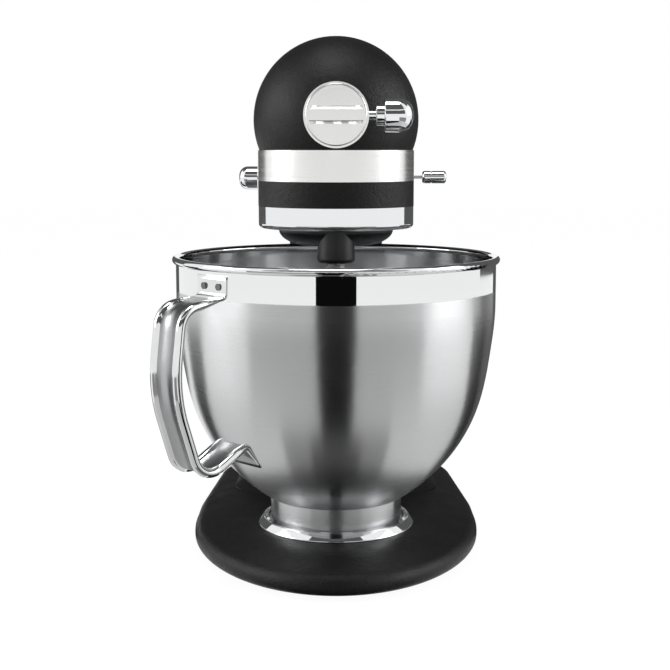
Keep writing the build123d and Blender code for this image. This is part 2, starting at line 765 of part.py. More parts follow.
def strap(line, thickness, width, middle):
    """A flat strap of one thickness along a path, between two sides."""
    side_face = make_face(offset(line, thickness / 2, kind=Kind.ARC, side=Side.BOTH))
    solid = extrude(Plane.XZ * side_face, width / 2, both=True)
    return Pos(0, middle, 0) * solid


def handle_grip_line():
    """The stretch of the path that is thickened into rolled edges."""
    start = BOWL_RIM_RADIUS + HANDLE_EDGE + HANDLE_STRAP
    return FilletPolyline(
        (start, handle_arm_height(start)),
        HANDLE_ARM_OUT,
        HANDLE_GRIP_MID,
        HANDLE_GRIP_LOW,
        handle_lower_point(),
        radius=handle_bends(),
    )


def handle_arm_height(radius):
    """The height of the handle's upper arm at a radius."""
    start = (BOWL_RIM_RADIUS + HANDLE_STRAP / 2, HANDLE_PLATE_TOP - HANDLE_PLATE_HEIGHT)
    share = (radius - start[0]) / (HANDLE_ARM_OUT[0] - start[0])
    return start[1] + share * (HANDLE_ARM_OUT[1] - start[1])


def handle_lower_point():
    """Where the rolled edges end on the lower arm."""
    run = hypot(HANDLE_TAB_BEND[0] - HANDLE_GRIP_LOW[0], HANDLE_TAB_BEND[1] - HANDLE_GRIP_LOW[1])
    share = 1 - 2 * HANDLE_EDGE / run
    return tuple(a + share * (b - a) for a, b in zip(HANDLE_GRIP_LOW, HANDLE_TAB_BEND))


def handle_plate():
    """The curved plate that holds the handle to the bowl's wall."""
    outer = BOWL_RIM_RADIUS + HANDLE_STRAP
    low = HANDLE_PLATE_TOP - HANDLE_PLATE_HEIGHT
    ring = upright(outer, low, HANDLE_PLATE_TOP) - upright(BOWL_RIM_RADIUS, low - 1, HANDLE_PLATE_TOP + 1)
    window = block(0, BIG, -HANDLE_PLATE_WIDTH / 2, HANDLE_PLATE_WIDTH / 2, low, HANDLE_PLATE_TOP)
    return ring & window


def bowl_handle():
    """The strap handle with rolled edges, fitted to the bowl's outside."""
    body = strap(handle_line(), HANDLE_STRAP, HANDLE_WIDTH, 0)
    shift = (HANDLE_WIDTH - HANDLE_EDGE_WIDTH) / 2
    for side in (-1, 1):
        body += strap(handle_grip_line(), HANDLE_EDGE, HANDLE_EDGE_WIDTH, side * shift)
    body += handle_plate()
    body -= bowl_filled()
    return Rot(0, 0, HANDLE_AZIMUTH) * body


def handle_rivets():
    """Two flat rivet heads on the handle's upper plate."""
    outer = BOWL_RIM_RADIUS + HANDLE_STRAP
    height = HANDLE_PLATE_TOP - HANDLE_PLATE_HEIGHT / 2
    handle = bowl_handle()
    heads = []
    for side in (-1, 1):
        turn = HANDLE_AZIMUTH + side * degrees(RIVET_SPACING / 2 / outer)
        head = bar_x(RIVET_RADIUS, outer - HANDLE_STRAP / 2, outer + RIVET_HEIGHT, 0, height)
        heads.append(Rot(0, 0, turn) * head - handle)
    return heads


# Head shell
def bullet_side(inset=0.0):
    """The head's upper line from nose to tail, as (distance back, radius)."""
    return Spline(
        (0, NOSE_RADIUS - inset),
        (HEAD_SWELL[0], HEAD_SWELL[1] - inset),
        (HEAD_WAIST[0], HEAD_WAIST[1] - inset),
        (HEAD_TAPER[0], HEAD_TAPER[1] - inset),
        (HEAD_TAIL[0], HEAD_TAIL[1] - inset),
        (HEAD_REAR - inset, 0),
        tangents=((1, 0), (0, -1)),
    )


def bullet(inset=0.0):
    """The head's turned body about its level axis, or its inside for a given wall."""
    radius = NOSE_RADIUS - inset
    lean = sqrt(0.5) * radius
    nose = ThreePointArc((-radius, 0), (-lean, lean), (0, radius))
    axis_line = Line((HEAD_REAR - inset, 0), (-radius, 0))
    face = make_face(nose.edges() + bullet_side(inset).edges() + axis_line.edges())
    solid = revolve(face, Axis.X)
    return Pos(0, 0, SHELL_AXIS_Z) * Rot(0, 0, 90) * solid


def split_radius():
    """The nose's radius in the level slice where the upper and lower housings meet."""
    return sqrt(NOSE_RADIUS**2 - (SHELL_AXIS_Z - SPLIT_Z) ** 2)


def case_outline(grow=0.0):
    """The head's level slice at the split, which the lower housing and band follow."""
    side = bullet_side()
    drop = SHELL_AXIS_Z - SPLIT_Z
    radius = split_radius() + grow
    spots = [side @ (OUTLINE_SHARE * n / OUTLINE_STEPS) for n in range(OUTLINE_STEPS + 1)]
    right = [(sqrt(spot.Y**2 - drop**2) + grow, spot.X) for spot in spots]
    left = [(-x, y) for x, y in right]
    lean = (right[-1][0] - right[-2][0], right[-1][1] - right[-2][1])
    edges = [
        ThreePointArc(left[0], (0, -radius), right[0]),
        Spline(*right, tangents=((0, 1), lean)),
        Line(right[-1], left[-1]),
        Spline(*left, tangents=((0, 1), (-lean[0], lean[1]))),
    ]
    return make_face(edges)


def case_prism(low, high, grow=0.0):
    """The lower housing's straight-sided body between two heights."""
    body = Pos(0, 0, low) * extrude(case_outline(grow), high - low, dir=(0, 0, 1))
    return body & block(-BIG, BIG, -BIG, COVER_SEAM_Y, low - 1, high + 1)


def lever_slot(side, start, travel, width):
    """The slot in the head's side that a lever's stem travels in."""
    half_height = LEVER_THICKNESS / 2 + SLIDING_GAP
    front = start - width / 2 - FREE_GAP
    rear = start + travel + width / 2 + FREE_GAP
    near, far = sorted((side * LOCK_LEG_X, side * BIG))
    return block(near, far, front, rear, LEVER_Z - half_height, LEVER_Z + half_height)


def lever_slots():
    """Both lever slots, the lock's on the left and the speed lever's on the right."""
    lock = lever_slot(-1, LOCK_Y, LOCK_TRAVEL, LOCK_STEM_WIDTH)
    speed = lever_slot(1, SPEED_Y, SPEED_TRAVEL, SPEED_STEM_WIDTH)
    return lock + speed


def housing_screw_spots():
    """Where the screws between lower and upper housing stand."""
    return [(side * x, y) for side in (-1, 1) for x, y in (HOUSING_SCREW_FRONT, HOUSING_SCREW_REAR)]


def inter_axis():
    """The intermediate shaft's place, set by both gear pairs that it carries."""
    x = -(WORM_RADIUS + GEAR_MODULE * WHEEL_TEETH / 2)
    reach = GEAR_MODULE * (CENTRE_TEETH + INTER_PINION_TEETH) / 2
    return x, sqrt(reach * reach - x * x)


def gearcase():
    """The lower housing: gear room in front, motor room behind, and the hinge lug."""
    body = case_prism(CASE_LOW_Z, BAND_LOW_Z, BAND_THICKNESS)
    chin_y = COVER_SEAM_Y - CASE_CHIN_ROUND
    chin_z = CASE_LOW_Z + CASE_CHIN_ROUND
    chin = block(-BIG, BIG, chin_y, BIG, 0, chin_z)
    body -= chin - bar_x(CASE_CHIN_ROUND, -BIG, BIG, chin_y, chin_z)
    body += case_prism(BAND_LOW_Z, SPLIT_Z)
    room = case_prism(GEAR_FLOOR_HIGH, SPLIT_Z + 1, -CASE_WALL)
    motor_room = case_prism(CASE_LOW_Z + CASE_FLOOR, GEAR_FLOOR_HIGH + 1, -CASE_WALL)
    room += motor_room & block(-BIG, BIG, GEAR_ROOM_END, COVER_SEAM_Y - CASE_CHIN_ROUND, 0, BIG)
    for x, y in housing_screw_spots():
        room -= upright(HOUSING_BOSS_RADIUS, 0, BIG, x, y)
    for y in (CRADLE_FRONT_Y, CRADLE_REAR_Y):
        saddle = block(CRADLE_INNER_X, CRADLE_OUTER_X, y, y + CRADLE_THICKNESS, 0, DRIVE_AXIS_Z)
        room -= mirrored(saddle) - bar_y(STATOR_RADIUS, y - 1, y + CRADLE_THICKNESS + 1)
    guide_top = LOCK_BOLT_Z + LOCK_BOLT_RADIUS + FREE_GAP
    guide_rear = LOCK_BOLT_TIP - CRADLE_THICKNESS
    room -= block(-CATCH_HALF_WIDTH, CATCH_HALF_WIDTH, CRADLE_FRONT_Y, guide_rear, 0, guide_top)
    room -= speed_rail()
    body -= room
    body += lug_shape(LUG_RADIUS, LUG_HALF_WIDTH)
    body -= bar_x(HINGE_PIN_RADIUS + RUNNING_FIT, -BIG, BIG, HINGE_Y, HINGE_Z)
    body -= bar_y(LOCK_BOLT_RADIUS + RUNNING_FIT, GEAR_ROOM_END, CATCH_Y, 0, LOCK_BOLT_Z)
    body -= catch_window()
    body -= upright(RING_OUTER_RADIUS, 0, GEAR_FLOOR_LOW)
    body += upright(CENTRE_BUSH_BOSS, CENTRE_BUSH_LOW_Z, GEAR_FLOOR_LOW)
    body -= upright(CENTRE_BUSH_RADIUS, 0, SPLIT_Z)
    inter_x, inter_y = inter_axis()
    body -= upright(INTER_BUSH_RADIUS, GEAR_FLOOR_LOW, SPLIT_Z, inter_x, inter_y)
    for x, y in housing_screw_spots():
        body -= upright(HOUSING_SCREW_HEAD, 0, CASE_LOW_Z + HOUSING_SCREW_RECESS, x, y)
        body -= upright(HOUSING_SCREW_RADIUS, 0, SPLIT_Z, x, y)
    return body - lever_slots()


def catch_window():
    """The opening in the lower housing that the catch passes as the head tilts."""
    front = LOCK_BOLT_TIP - CRADLE_THICKNESS
    rear = CATCH_Y + CATCH_THICKNESS
    half = CATCH_HALF_WIDTH + 2 * FREE_GAP
    return block(-half, half, front, rear, 0, CATCH_TOP_Z)


def speed_rail():
    """The ledge inside the lower housing that the speed bar slides on."""
    front = SPEED_Y - SPEED_BAR_LENGTH / 2
    rear = SPEED_Y + SPEED_TRAVEL + SPEED_BAR_LENGTH / 2
    top = speed_bar_low() - SLIDING_GAP
    return block(SPEED_BAR_X - SPEED_BAR_THICKNESS, BIG, front, rear, 0, top)


def speed_bar_low():
    return LEVER_Z + LEVER_THICKNESS / 2 - SPEED_BAR_HEIGHT


def nose_hub_cut():
    """The seat and bore in the nose that take the attachment hub."""
    seat = bar_y(HUB_RADIUS, -BIG, HUB_SEAT)
    return seat + bar_y(HUB_SPIGOT_RADIUS, -BIG, 0)


def upper_housing():
    """The upper shell with its screw bosses, hub seat and brush cap holes."""
    limits = block(-BIG, BIG, -BIG, COVER_SEAM_Y, SPLIT_Z, BIG)
    shell = (bullet() - bullet(HEAD_WALL)) & limits
    inside = bullet(HEAD_WALL / 2)
    for x, y in housing_screw_spots():
        boss = upright(HOUSING_BOSS_RADIUS, SPLIT_Z, SPLIT_Z + HOUSING_BOSS_HEIGHT, x, y)
        shell += boss & inside
        shell -= upright(HOUSING_SCREW_RADIUS, 0, SPLIT_Z + HOUSING_BOSS_HEIGHT - FREE_GAP, x, y)
    shell -= nose_hub_cut()
    shell -= bar_x(BRUSH_HOLDER_RADIUS, -BIG, BIG, BRUSH_Y, DRIVE_AXIS_Z)
    cap_seat = bar_x(BRUSH_CAP_RADIUS, wall_x() + BRUSH_CAP_HEIGHT / 2, BIG, BRUSH_Y, DRIVE_AXIS_Z)
    return shell - mirrored(cap_seat)


def housing_screws():
    """Four screws up through the lower housing into the upper one."""
    seat = CASE_LOW_Z + HOUSING_SCREW_RECESS
    screws = []
    for x, y in housing_screw_spots():
        shank = upright(HOUSING_SCREW_RADIUS, seat, SPLIT_Z + HOUSING_BOSS_HEIGHT - FREE_GAP, x, y)
        screws.append(shank + upright(HOUSING_SCREW_HEAD, seat - HOUSING_SCREW_HEAD_HEIGHT, seat, x, y))
    return screws


def trim_band():
    """The bare metal band let into the lower housing, open at the rear."""
    band = case_prism(BAND_LOW_Z, SPLIT_Z, BAND_THICKNESS)
    band -= case_prism(BAND_LOW_Z - 1, SPLIT_Z + 1)
    band &= block(-BIG, BIG, -BIG, COVER_SEAM_Y, 0, BIG)
    return band - lever_slots()


def cover_screw_spots():
    return [(-COVER_SCREW_X, COVER_SCREW_Z), (COVER_SCREW_X, COVER_SCREW_Z)]


def rear_cover():
    """The end shell of the head, with the gland's hole and screw pockets."""
    limits = block(-BIG, BIG, COVER_SEAM_Y, BIG, 0, BIG)
    shell = (bullet() - bullet(HEAD_WALL)) & limits
    inside = bullet(HEAD_WALL / 2)
    for x, z in cover_screw_spots():
        pad = bar_y(COVER_SCREW_HEAD + HEAD_WALL, COVER_SCREW_SEAT_Y - HEAD_WALL, HEAD_REAR, x, z)
        shell += pad & inside & limits
        shell -= bar_y(COVER_SCREW_HEAD, COVER_SCREW_SEAT_Y, BIG, x, z)
        shell -= bar_y(COVER_SCREW_RADIUS, 0, BIG, x, z)
    pad = bar_y(GLAND_FLANGE_RADIUS + HEAD_WALL, GLAND_SEAT_Y - HEAD_WALL, HEAD_REAR, 0, GLAND_Z)
    shell += pad & inside
    shell -= bar_y(GLAND_FLANGE_RADIUS, GLAND_SEAT_Y, BIG, 0, GLAND_Z)
    shell -= bar_y(GLAND_RADIUS, 0, BIG, 0, GLAND_Z)
    return shell


def rear_cover_screws():
    """Two screws through the rear cover into the rear bracket's posts."""
    screws = []
    for x, z in cover_screw_spots():
        front = COVER_SCREW_SEAT_Y - 4 * COVER_SCREW_HEAD
        shank = bar_y(COVER_SCREW_RADIUS, front, COVER_SCREW_SEAT_Y, x, z)
        head = bar_y(COVER_SCREW_HEAD, COVER_SCREW_SEAT_Y, COVER_SCREW_SEAT_Y + COVER_SCREW_RADIUS, x, z)
        screws.append(shank + head)
    return screws


def cord_gland():
    """The rubber gland in the rear cover, with an open bore for the lead."""
    spigot = bar_y(GLAND_RADIUS, GLAND_SEAT_Y - GLAND_DEPTH, GLAND_SEAT_Y, 0, GLAND_Z)
    flange = bar_y(GLAND_FLANGE_RADIUS, GLAND_SEAT_Y, GLAND_SEAT_Y + GLAND_DEPTH / 2, 0, GLAND_Z)
    flange = fillet(flange.edges().group_by(Axis.Y)[-1], BALL_FACE)
    return spigot + flange - bar_y(GLAND_BORE_RADIUS, 0, BIG, 0, GLAND_Z)


def drip_ring():
    """The bright ring below the nose, with an inner flange under the ring gear."""
    outer = split_radius() + BAND_THICKNESS
    tube = upright(outer, DRIP_LOW_Z, CASE_LOW_Z)
    tube = fillet(tube.edges().group_by(Axis.Z)[0], DRIP_EDGE_ROUND)
    tube -= upright(DRIP_INNER_RADIUS, 0, CASE_LOW_Z - DRIP_FLANGE)
    return tube - upright(DRIP_FLANGE_BORE, 0, BIG)


# Gear teeth
def involute(angle):
    return tan(angle) - angle


def gear_face(teeth, module, backlash, top=1.0, root=1.25, turn=0.0):
    """A gear's outline with flat-sided teeth that follow the involute at three radii."""
    pitch = module * teeth / 2
    base = pitch * cos(PRESSURE_ANGLE)
    radii = [pitch - root * module, pitch, pitch + top * module]
    middle_half = pi / (2 * teeth) - backlash / (2 * pitch) + involute(PRESSURE_ANGLE)
    halves = [middle_half - involute(acos(min(1.0, base / max(r, base)))) for r in radii]
    flank = list(zip(radii, halves))
    corners = []
    for tooth in range(teeth):
        middle = radians(turn) + 2 * pi * tooth / teeth
        corners += [(r * cos(middle - half), r * sin(middle - half)) for r, half in flank]
        corners += [(r * cos(middle + half), r * sin(middle + half)) for r, half in reversed(flank)]
    return make_face(Polyline(*corners, close=True))


def spur(teeth, module, backlash, low, height, turn, x=0.0, y=0.0):
    """An upright spur gear without its bore."""
    return Pos(x, y, low) * extrude(gear_face(teeth, module, backlash, turn=turn), height)


def bevel(turn):
    """A mitre gear on +Z whose pitch cone's tip is at the origin, teeth facing up."""
    radius = GEAR_MODULE * BEVEL_TEETH / 2
    small = 1 - BEVEL_FACE / radius
    face = gear_face(BEVEL_TEETH, GEAR_MODULE, BEVEL_BACKLASH, top=0.9, turn=turn)
    lower = Pos(0, 0, -radius) * face
    upper = Pos(0, 0, -radius * small) * scale(face, small)
    teeth = loft([lower.face(), upper.face()], ruled=True)
    return teeth + upright(radius - 1.5 * GEAR_MODULE, -radius - BEVEL_BACKING, -radius)


# Planetary head
def ring_gear():
    """The fixed ring with inner teeth, held up by the drip ring."""
    space = gear_face(RING_TEETH, PLANET_MODULE, -PLANET_BACKLASH, top=1.25, root=0.85, turn=-90.0)
    body = upright(RING_OUTER_RADIUS, CASE_LOW_Z, GEAR_FLOOR_LOW)
    return body - Pos(0, 0, CASE_LOW_Z - 1) * extrude(space, GEAR_FLOOR_LOW - CASE_LOW_Z + 2)


def beater_axis():
    return 0.0, -BEATER_OFFSET


def planetary_carrier():
    """The turning dish that carries the beater shaft round the bowl."""
    top = DRIP_LOW_Z + BALL_FACE
    flat = CARRIER_RADIUS - CARRIER_ROUND_WIDTH
    crown = CARRIER_LOW_Z + CARRIER_ROUND_HEIGHT
    outline = [
        Line((0, CARRIER_LOW_Z), (flat, CARRIER_LOW_Z)),
        EllipticalCenterArc((flat, crown), CARRIER_ROUND_WIDTH, CARRIER_ROUND_HEIGHT, 270, arc_size=90),
        Line((CARRIER_RADIUS, crown), (CARRIER_RADIUS, top)),
        Line((CARRIER_RADIUS, top), (0, top)),
        Line((0, top), (0, CARRIER_LOW_Z)),
    ]
    dish = revolve(Plane.XZ * make_face(outline), Axis.Z)
    dish += upright(CARRIER_NECK_RADIUS, DRIP_LOW_Z, CARRIER_TOP_Z)
    x, y = beater_axis()
    boss_middle = (BOSS_LOW_Z + DRIP_LOW_Z) / 2
    boss = Pos(x, y, boss_middle) * Cone(BOSS_RADIUS, BOSS_TOP_RADIUS, DRIP_LOW_Z - BOSS_LOW_Z)
    dish += fillet(boss.edges().group_by(Axis.Z)[0], BOSS_ROUND)
    dish -= upright(CENTRE_SHAFT_RADIUS, CENTRE_SHAFT_LOW_Z, BIG)
    dish -= upright(BEATER_SHAFT_RADIUS + RUNNING_FIT, 0, BIG, x, y)
    return dish - carrier_pin_hole()


def carrier_pin_height():
    return (CENTRE_SHAFT_LOW_Z + CARRIER_TOP_Z) / 2


def carrier_pin_hole():
    """The cross hole that pins the carrier to the centre shaft."""
    return bar_x(CARRIER_PIN_RADIUS, -BIG, BIG, 0, carrier_pin_height())


def carrier_pin():
    """The pin through carrier and centre shaft."""
    half = CARRIER_NECK_RADIUS / 2
    return bar_x(CARRIER_PIN_RADIUS, -half, half, 0, carrier_pin_height())


def beater_shaft():
    """The shaft that beaters are pushed onto, with a chamfered tip, a groove and a cross hole."""
    x, y = beater_axis()
    shaft = upright(BEATER_SHAFT_RADIUS, BEATER_SHAFT_LOW_Z, GEAR_FLOOR_LOW - BALL_FACE, x, y)
    shaft = chamfer(shaft.edges().group_by(Axis.Z)[0], BEATER_TIP_CHAMFER)
    groove_top = cross_pin_height() - CROSS_PIN_RADIUS - FREE_GAP
    groove_low = groove_top - BEATER_GROOVE_WIDTH
    groove = upright(BEATER_SHAFT_RADIUS + 1, groove_low, groove_top, x, y)
    shaft -= groove - upright(BEATER_SHAFT_RADIUS - BEATER_GROOVE_DEPTH, 0, BIG, x, y)
    return shaft - bar_x(CROSS_PIN_RADIUS, -BIG, BIG, y, cross_pin_height())


def cross_pin_height():
    return BOSS_LOW_Z - CROSS_PIN_DROP


def beater_cross_pin():
    """The pin that a beater's slot locks onto."""
    half = CROSS_PIN_LENGTH / 2
    return bar_x(CROSS_PIN_RADIUS, -half, half, beater_axis()[1], cross_pin_height())


def beater_pinion():
    """The pinion on the beater shaft that rolls in the ring gear."""
    x, y = beater_axis()
    low = CASE_LOW_Z + BALL_FACE / 2
    gear = spur(BEATER_TEETH, PLANET_MODULE, PLANET_BACKLASH, low, PINION_HEIGHT, -90.0, x, y)
    gear += upright(PINION_SEAT_RADIUS, CARRIER_TOP_Z + RUNNING_FIT, low, x, y)
    return gear - upright(BEATER_SHAFT_RADIUS, 0, BIG, x, y)


def centre_shaft():
    """The upright shaft in the middle of the gear room."""
    shaft = upright(CENTRE_SHAFT_RADIUS, CENTRE_SHAFT_LOW_Z, CENTRE_SHAFT_HIGH_Z)
    return shaft - carrier_pin_hole()


def centre_bush():
    """The bronze bush that the centre shaft turns in."""
    bush = upright(CENTRE_BUSH_RADIUS, CENTRE_BUSH_LOW_Z, GEAR_FLOOR_HIGH)
    return bush - upright(CENTRE_SHAFT_RADIUS + RUNNING_FIT, 0, BIG)


def centre_gear():
    """The large spur gear and the mitre gear on the centre shaft, in one piece."""
    inter_x, inter_y = inter_axis()
    turn = degrees(atan2(inter_y, inter_x))
    gear = spur(CENTRE_TEETH, GEAR_MODULE, GEAR_BACKLASH, CENTRE_GEAR_LOW_Z, CENTRE_GEAR_HEIGHT, turn)
    radius = GEAR_MODULE * BEVEL_TEETH / 2
    top = CENTRE_GEAR_LOW_Z + CENTRE_GEAR_HEIGHT
    gear += upright(radius - 1.5 * GEAR_MODULE, top, DRIVE_AXIS_Z - radius)
    gear += Pos(0, 0, DRIVE_AXIS_Z) * bevel(-90.0)
    gear += upright(CENTRE_BUSH_RADIUS, GEAR_FLOOR_HIGH + SLIDING_GAP, CENTRE_GEAR_LOW_Z)
    return gear - upright(CENTRE_SHAFT_RADIUS, 0, BIG)


# Intermediate shaft
def intermediate_shaft():
    """The upright shaft with its pinion cut in one piece."""
    x, y = inter_axis()
    shaft = upright(INTER_SHAFT_RADIUS, GEAR_FLOOR_LOW + FREE_GAP, INTER_SHAFT_HIGH_Z, x, y)
    turn = degrees(atan2(-y, -x)) + 180.0 / INTER_PINION_TEETH
    low = GEAR_FLOOR_HIGH + BALL_FACE
    height = CENTRE_GEAR_LOW_Z + CENTRE_GEAR_HEIGHT + BALL_FACE - low
    return shaft + spur(INTER_PINION_TEETH, GEAR_MODULE, GEAR_BACKLASH, low, height, turn, x, y)


def intermediate_bush():
    """The bush in the gear room's floor under the intermediate shaft."""
    x, y = inter_axis()
    bush = upright(INTER_BUSH_RADIUS, GEAR_FLOOR_LOW, GEAR_FLOOR_HIGH + BALL_FACE - SLIDING_GAP, x, y)
    return bush - upright(INTER_SHAFT_RADIUS + RUNNING_FIT, 0, BIG, x, y)


def worm_lead():
    return WORM_STARTS * pi * GEAR_MODULE


def worm_wheel():
    """The bronze wheel driven by the worm, with slanted teeth."""
    x, y = inter_axis()
    radius = GEAR_MODULE * WHEEL_TEETH / 2
    slant = degrees(WHEEL_WIDTH * worm_lead() / (2 * pi * WORM_RADIUS) / radius)
    turn = 360.0 / WHEEL_TEETH * WHEEL_PHASE
    face = gear_face(WHEEL_TEETH, GEAR_MODULE, GEAR_BACKLASH, top=WORM_TOOTH_TOP, turn=turn)
    low = Pos(0, 0, -WHEEL_WIDTH / 2) * Rot(0, 0, -slant / 2) * face
    high = Pos(0, 0, WHEEL_WIDTH / 2) * Rot(0, 0, slant / 2) * face
    teeth = loft([low.face(), high.face()], ruled=True)
    wheel = Pos(x, y, DRIVE_AXIS_Z) * teeth
    pinion_top = CENTRE_GEAR_LOW_Z + CENTRE_GEAR_HEIGHT + BALL_FACE
    wheel += upright(WHEEL_HUB_RADIUS, pinion_top, DRIVE_AXIS_Z, x, y)
    return wheel - upright(INTER_SHAFT_RADIUS, 0, BIG, x, y)


# Motor
def worm_face():
    """A slice across the worm: one raised tooth for each start."""
    tip = WORM_RADIUS + WORM_TOOTH_TOP * GEAR_MODULE
    root = WORM_RADIUS - WORM_TOOTH_ROOT * GEAR_MODULE
    pitch_width = pi * GEAR_MODULE / 2 - GEAR_BACKLASH / 2
    widths = [pitch_width + 2 * (WORM_RADIUS - r) * tan(PRESSURE_ANGLE) for r in (root, tip)]
    low_half, high_half = [pi / worm_lead() * width for width in widths]
    edges = []
    for start in range(WORM_STARTS):
        middle = 2 * pi * start / WORM_STARTS
        begin = middle - low_half
        end = middle + low_half
        after = 2 * pi * (start + 1) / WORM_STARTS - low_half
        feet = [(root * cos(a), root * sin(a)) for a in (begin, end, (end + after) / 2, after)]
        tops = (middle - high_half, middle, middle + high_half)
        crown = [(tip * cos(a), tip * sin(a)) for a in tops]
        edges += [Line(feet[0], crown[0]), ThreePointArc(*crown), Line(crown[2], feet[1])]
        edges.append(ThreePointArc(feet[1], feet[2], feet[3]))
    return make_face(edges)


def motor_shaft():
    """The armature's shaft, with the worm cut at its front."""
    turn = 360.0 * WORM_LENGTH / worm_lead()
    face = worm_face().face()
    thread = Solid.extrude_linear_with_rotation(face, (0, 0, 0), (0, 0, WORM_LENGTH), turn)
    middle = inter_axis()[1]
    worm = Pos(0, middle + WORM_LENGTH / 2, DRIVE_AXIS_Z) * Rot(90, 0, 0) * thread
    return bar_y(MOTOR_SHAFT_RADIUS, MOTOR_SHAFT_FRONT, MOTOR_SHAFT_REAR) + worm


def armature_core():
    """The wound core on the motor shaft, drawn as its laminated drum and end turns."""
    drum = bar_y(ARMATURE_RADIUS, STATOR_FRONT, STATOR_FRONT + STATOR_LENGTH)
    front = STATOR_FRONT - WINDING_LENGTH
    rear = STATOR_FRONT + STATOR_LENGTH + WINDING_LENGTH
    turns = bar_y(ARMATURE_RADIUS - WINDING_LENGTH, front, rear)
    return drum + turns - bar_y(MOTOR_SHAFT_RADIUS, 0, BIG)


def commutator():
    """The copper commutator behind the core."""
    return ring_y(COMMUTATOR_RADIUS, MOTOR_SHAFT_RADIUS, COMMUTATOR_Y, COMMUTATOR_Y + COMMUTATOR_LENGTH)


def cooling_fan():
    """The fan in front of the core: a plate, a hub and straight blades."""
    fan = bar_y(FAN_RADIUS, FAN_Y, FAN_Y + FAN_PLATE) + bar_y(FAN_HUB_RADIUS, FAN_Y, FAN_Y + FAN_DEPTH)
    half = FAN_BLADE_THICKNESS / 2
    blade = block(FAN_HUB_RADIUS - 1, FAN_RADIUS - 1, FAN_Y + FAN_PLATE, FAN_Y + FAN_DEPTH, -half, half)
    for number in range(FAN_BLADES):
        fan += Pos(0, 0, DRIVE_AXIS_Z) * Rot(0, 360.0 / FAN_BLADES * number, 0) * blade
    return fan - bar_y(MOTOR_SHAFT_RADIUS, 0, BIG)


def motor_stator():
    """The motor's fixed laminated ring."""
    return ring_y(STATOR_RADIUS, STATOR_BORE_RADIUS, STATOR_FRONT, STATOR_FRONT + STATOR_LENGTH)


def stator_windings():
    """The end turns of the stator's coils, a ring at each end."""
    rear = STATOR_FRONT + STATOR_LENGTH
    return [
        ring_y(WINDING_RADIUS, WINDING_BORE_RADIUS, STATOR_FRONT - WINDING_LENGTH, STATOR_FRONT),
        ring_y(WINDING_RADIUS, WINDING_BORE_RADIUS, rear, rear + WINDING_LENGTH),
    ]


def bearing(front):
    """A sealed bearing drawn as its outer ring, with running room on the shaft."""
    return ring_y(BEARING_RADIUS, MOTOR_SHAFT_RADIUS + RUNNING_FIT, front, front + BEARING_WIDTH)


def front_bracket():
    """The plate between gear room and motor, with an arm over the intermediate shaft."""
    rear = FRONT_BEARING_Y + BEARING_WIDTH
    plate = block(-BRACKET_HALF_WIDTH, BRACKET_HALF_WIDTH, FRONT_BEARING_Y, rear, GEAR_FLOOR_HIGH, BIG)
    plate &= bar_y(BRACKET_RADIUS, 0, BIG)
    x, y = inter_axis()
    half = FRONT_BRACKET_ARM_HALF
    plate += block(x - half, x + half, y - half, rear, FRONT_BRACKET_ARM_LOW, FRONT_BRACKET_ARM_HIGH)
    plate -= upright(INTER_SHAFT_RADIUS + RUNNING_FIT, 0, BIG, x, y)
    return plate - bar_y(BEARING_RADIUS, 0, BIG)


def rear_bracket():
    """The plate behind the motor, with posts for the board and the rear cover."""
    low = CASE_LOW_Z + CASE_FLOOR
    rear = REAR_BEARING_Y + BEARING_WIDTH
    plate = block(-REAR_BRACKET_HALF_WIDTH, REAR_BRACKET_HALF_WIDTH, REAR_BEARING_Y, rear, low, BIG)
    upper = bar_y(REAR_BRACKET_RADIUS, 0, BIG) + block(-BIG, BIG, 0, BIG, low, DRIVE_AXIS_Z)
    plate &= upper
    for x, z in cover_screw_spots():
        plate += bar_y(COVER_POST_RADIUS, rear, COVER_SCREW_SEAT_Y - HEAD_WALL, x, z)
        plate -= bar_y(COVER_SCREW_RADIUS, COVER_SCREW_SEAT_Y - 4 * COVER_SCREW_HEAD, BIG, x, z)
    for x in (-BOARD_HALF_WIDTH / 2, BOARD_HALF_WIDTH / 2):
        plate += bar_y(COVER_POST_RADIUS, rear, BOARD_Y, x, DRIVE_AXIS_Z - BOARD_HALF_HEIGHT)
    return plate - bar_y(BEARING_RADIUS, 0, BIG)


def speed_board():
    """The speed control's board on the rear bracket's posts."""
    low = DRIVE_AXIS_Z - BOARD_HALF_HEIGHT - COVER_POST_RADIUS
    high = COVER_SCREW_Z - COVER_POST_RADIUS - BALL_FACE
    return block(-BOARD_HALF_WIDTH, BOARD_HALF_WIDTH, BOARD_Y, BOARD_Y + BOARD_THICKNESS, low, high)


def brush_boxes(grow, inner, outer):
    """A pair of square bars, one on each side of the commutator."""
    width = BRUSH_HALF_WIDTH + grow
    height = BRUSH_HALF_HEIGHT + grow
    low, high = DRIVE_AXIS_Z - height, DRIVE_AXIS_Z + height
    right = block(inner, outer, BRUSH_Y - width, BRUSH_Y + width, low, high)
    return [right, mirror(right, Plane.YZ)]


def carbon_brushes():
    """Two carbon brushes on the commutator."""
    touch = bar_y(COMMUTATOR_RADIUS + SLIDING_GAP, 0, BIG)
    return [brush - touch for brush in brush_boxes(0, 0, BRUSH_REACH)]


def wall_x():
    """How far the head's side reaches where the brushes are."""
    near = (HEAD_WAIST[1] * (HEAD_TAPER[0] - BRUSH_Y) + HEAD_TAPER[1] * (BRUSH_Y - HEAD_WAIST[0]))
    return near / (HEAD_TAPER[0] - HEAD_WAIST[0])


def brush_holders():
    """Two brush tubes from the commutator out through the upper housing."""
    outer = wall_x() + BRUSH_CAP_HEIGHT / 2
    holders = []
    for side, hole in zip((1, -1), brush_boxes(0, 0, BIG)):
        near, far = sorted((side * BRUSH_HOLDER_IN, side * outer))
        holders.append(bar_x(BRUSH_HOLDER_RADIUS, near, far, BRUSH_Y, DRIVE_AXIS_Z) - hole)
    return holders


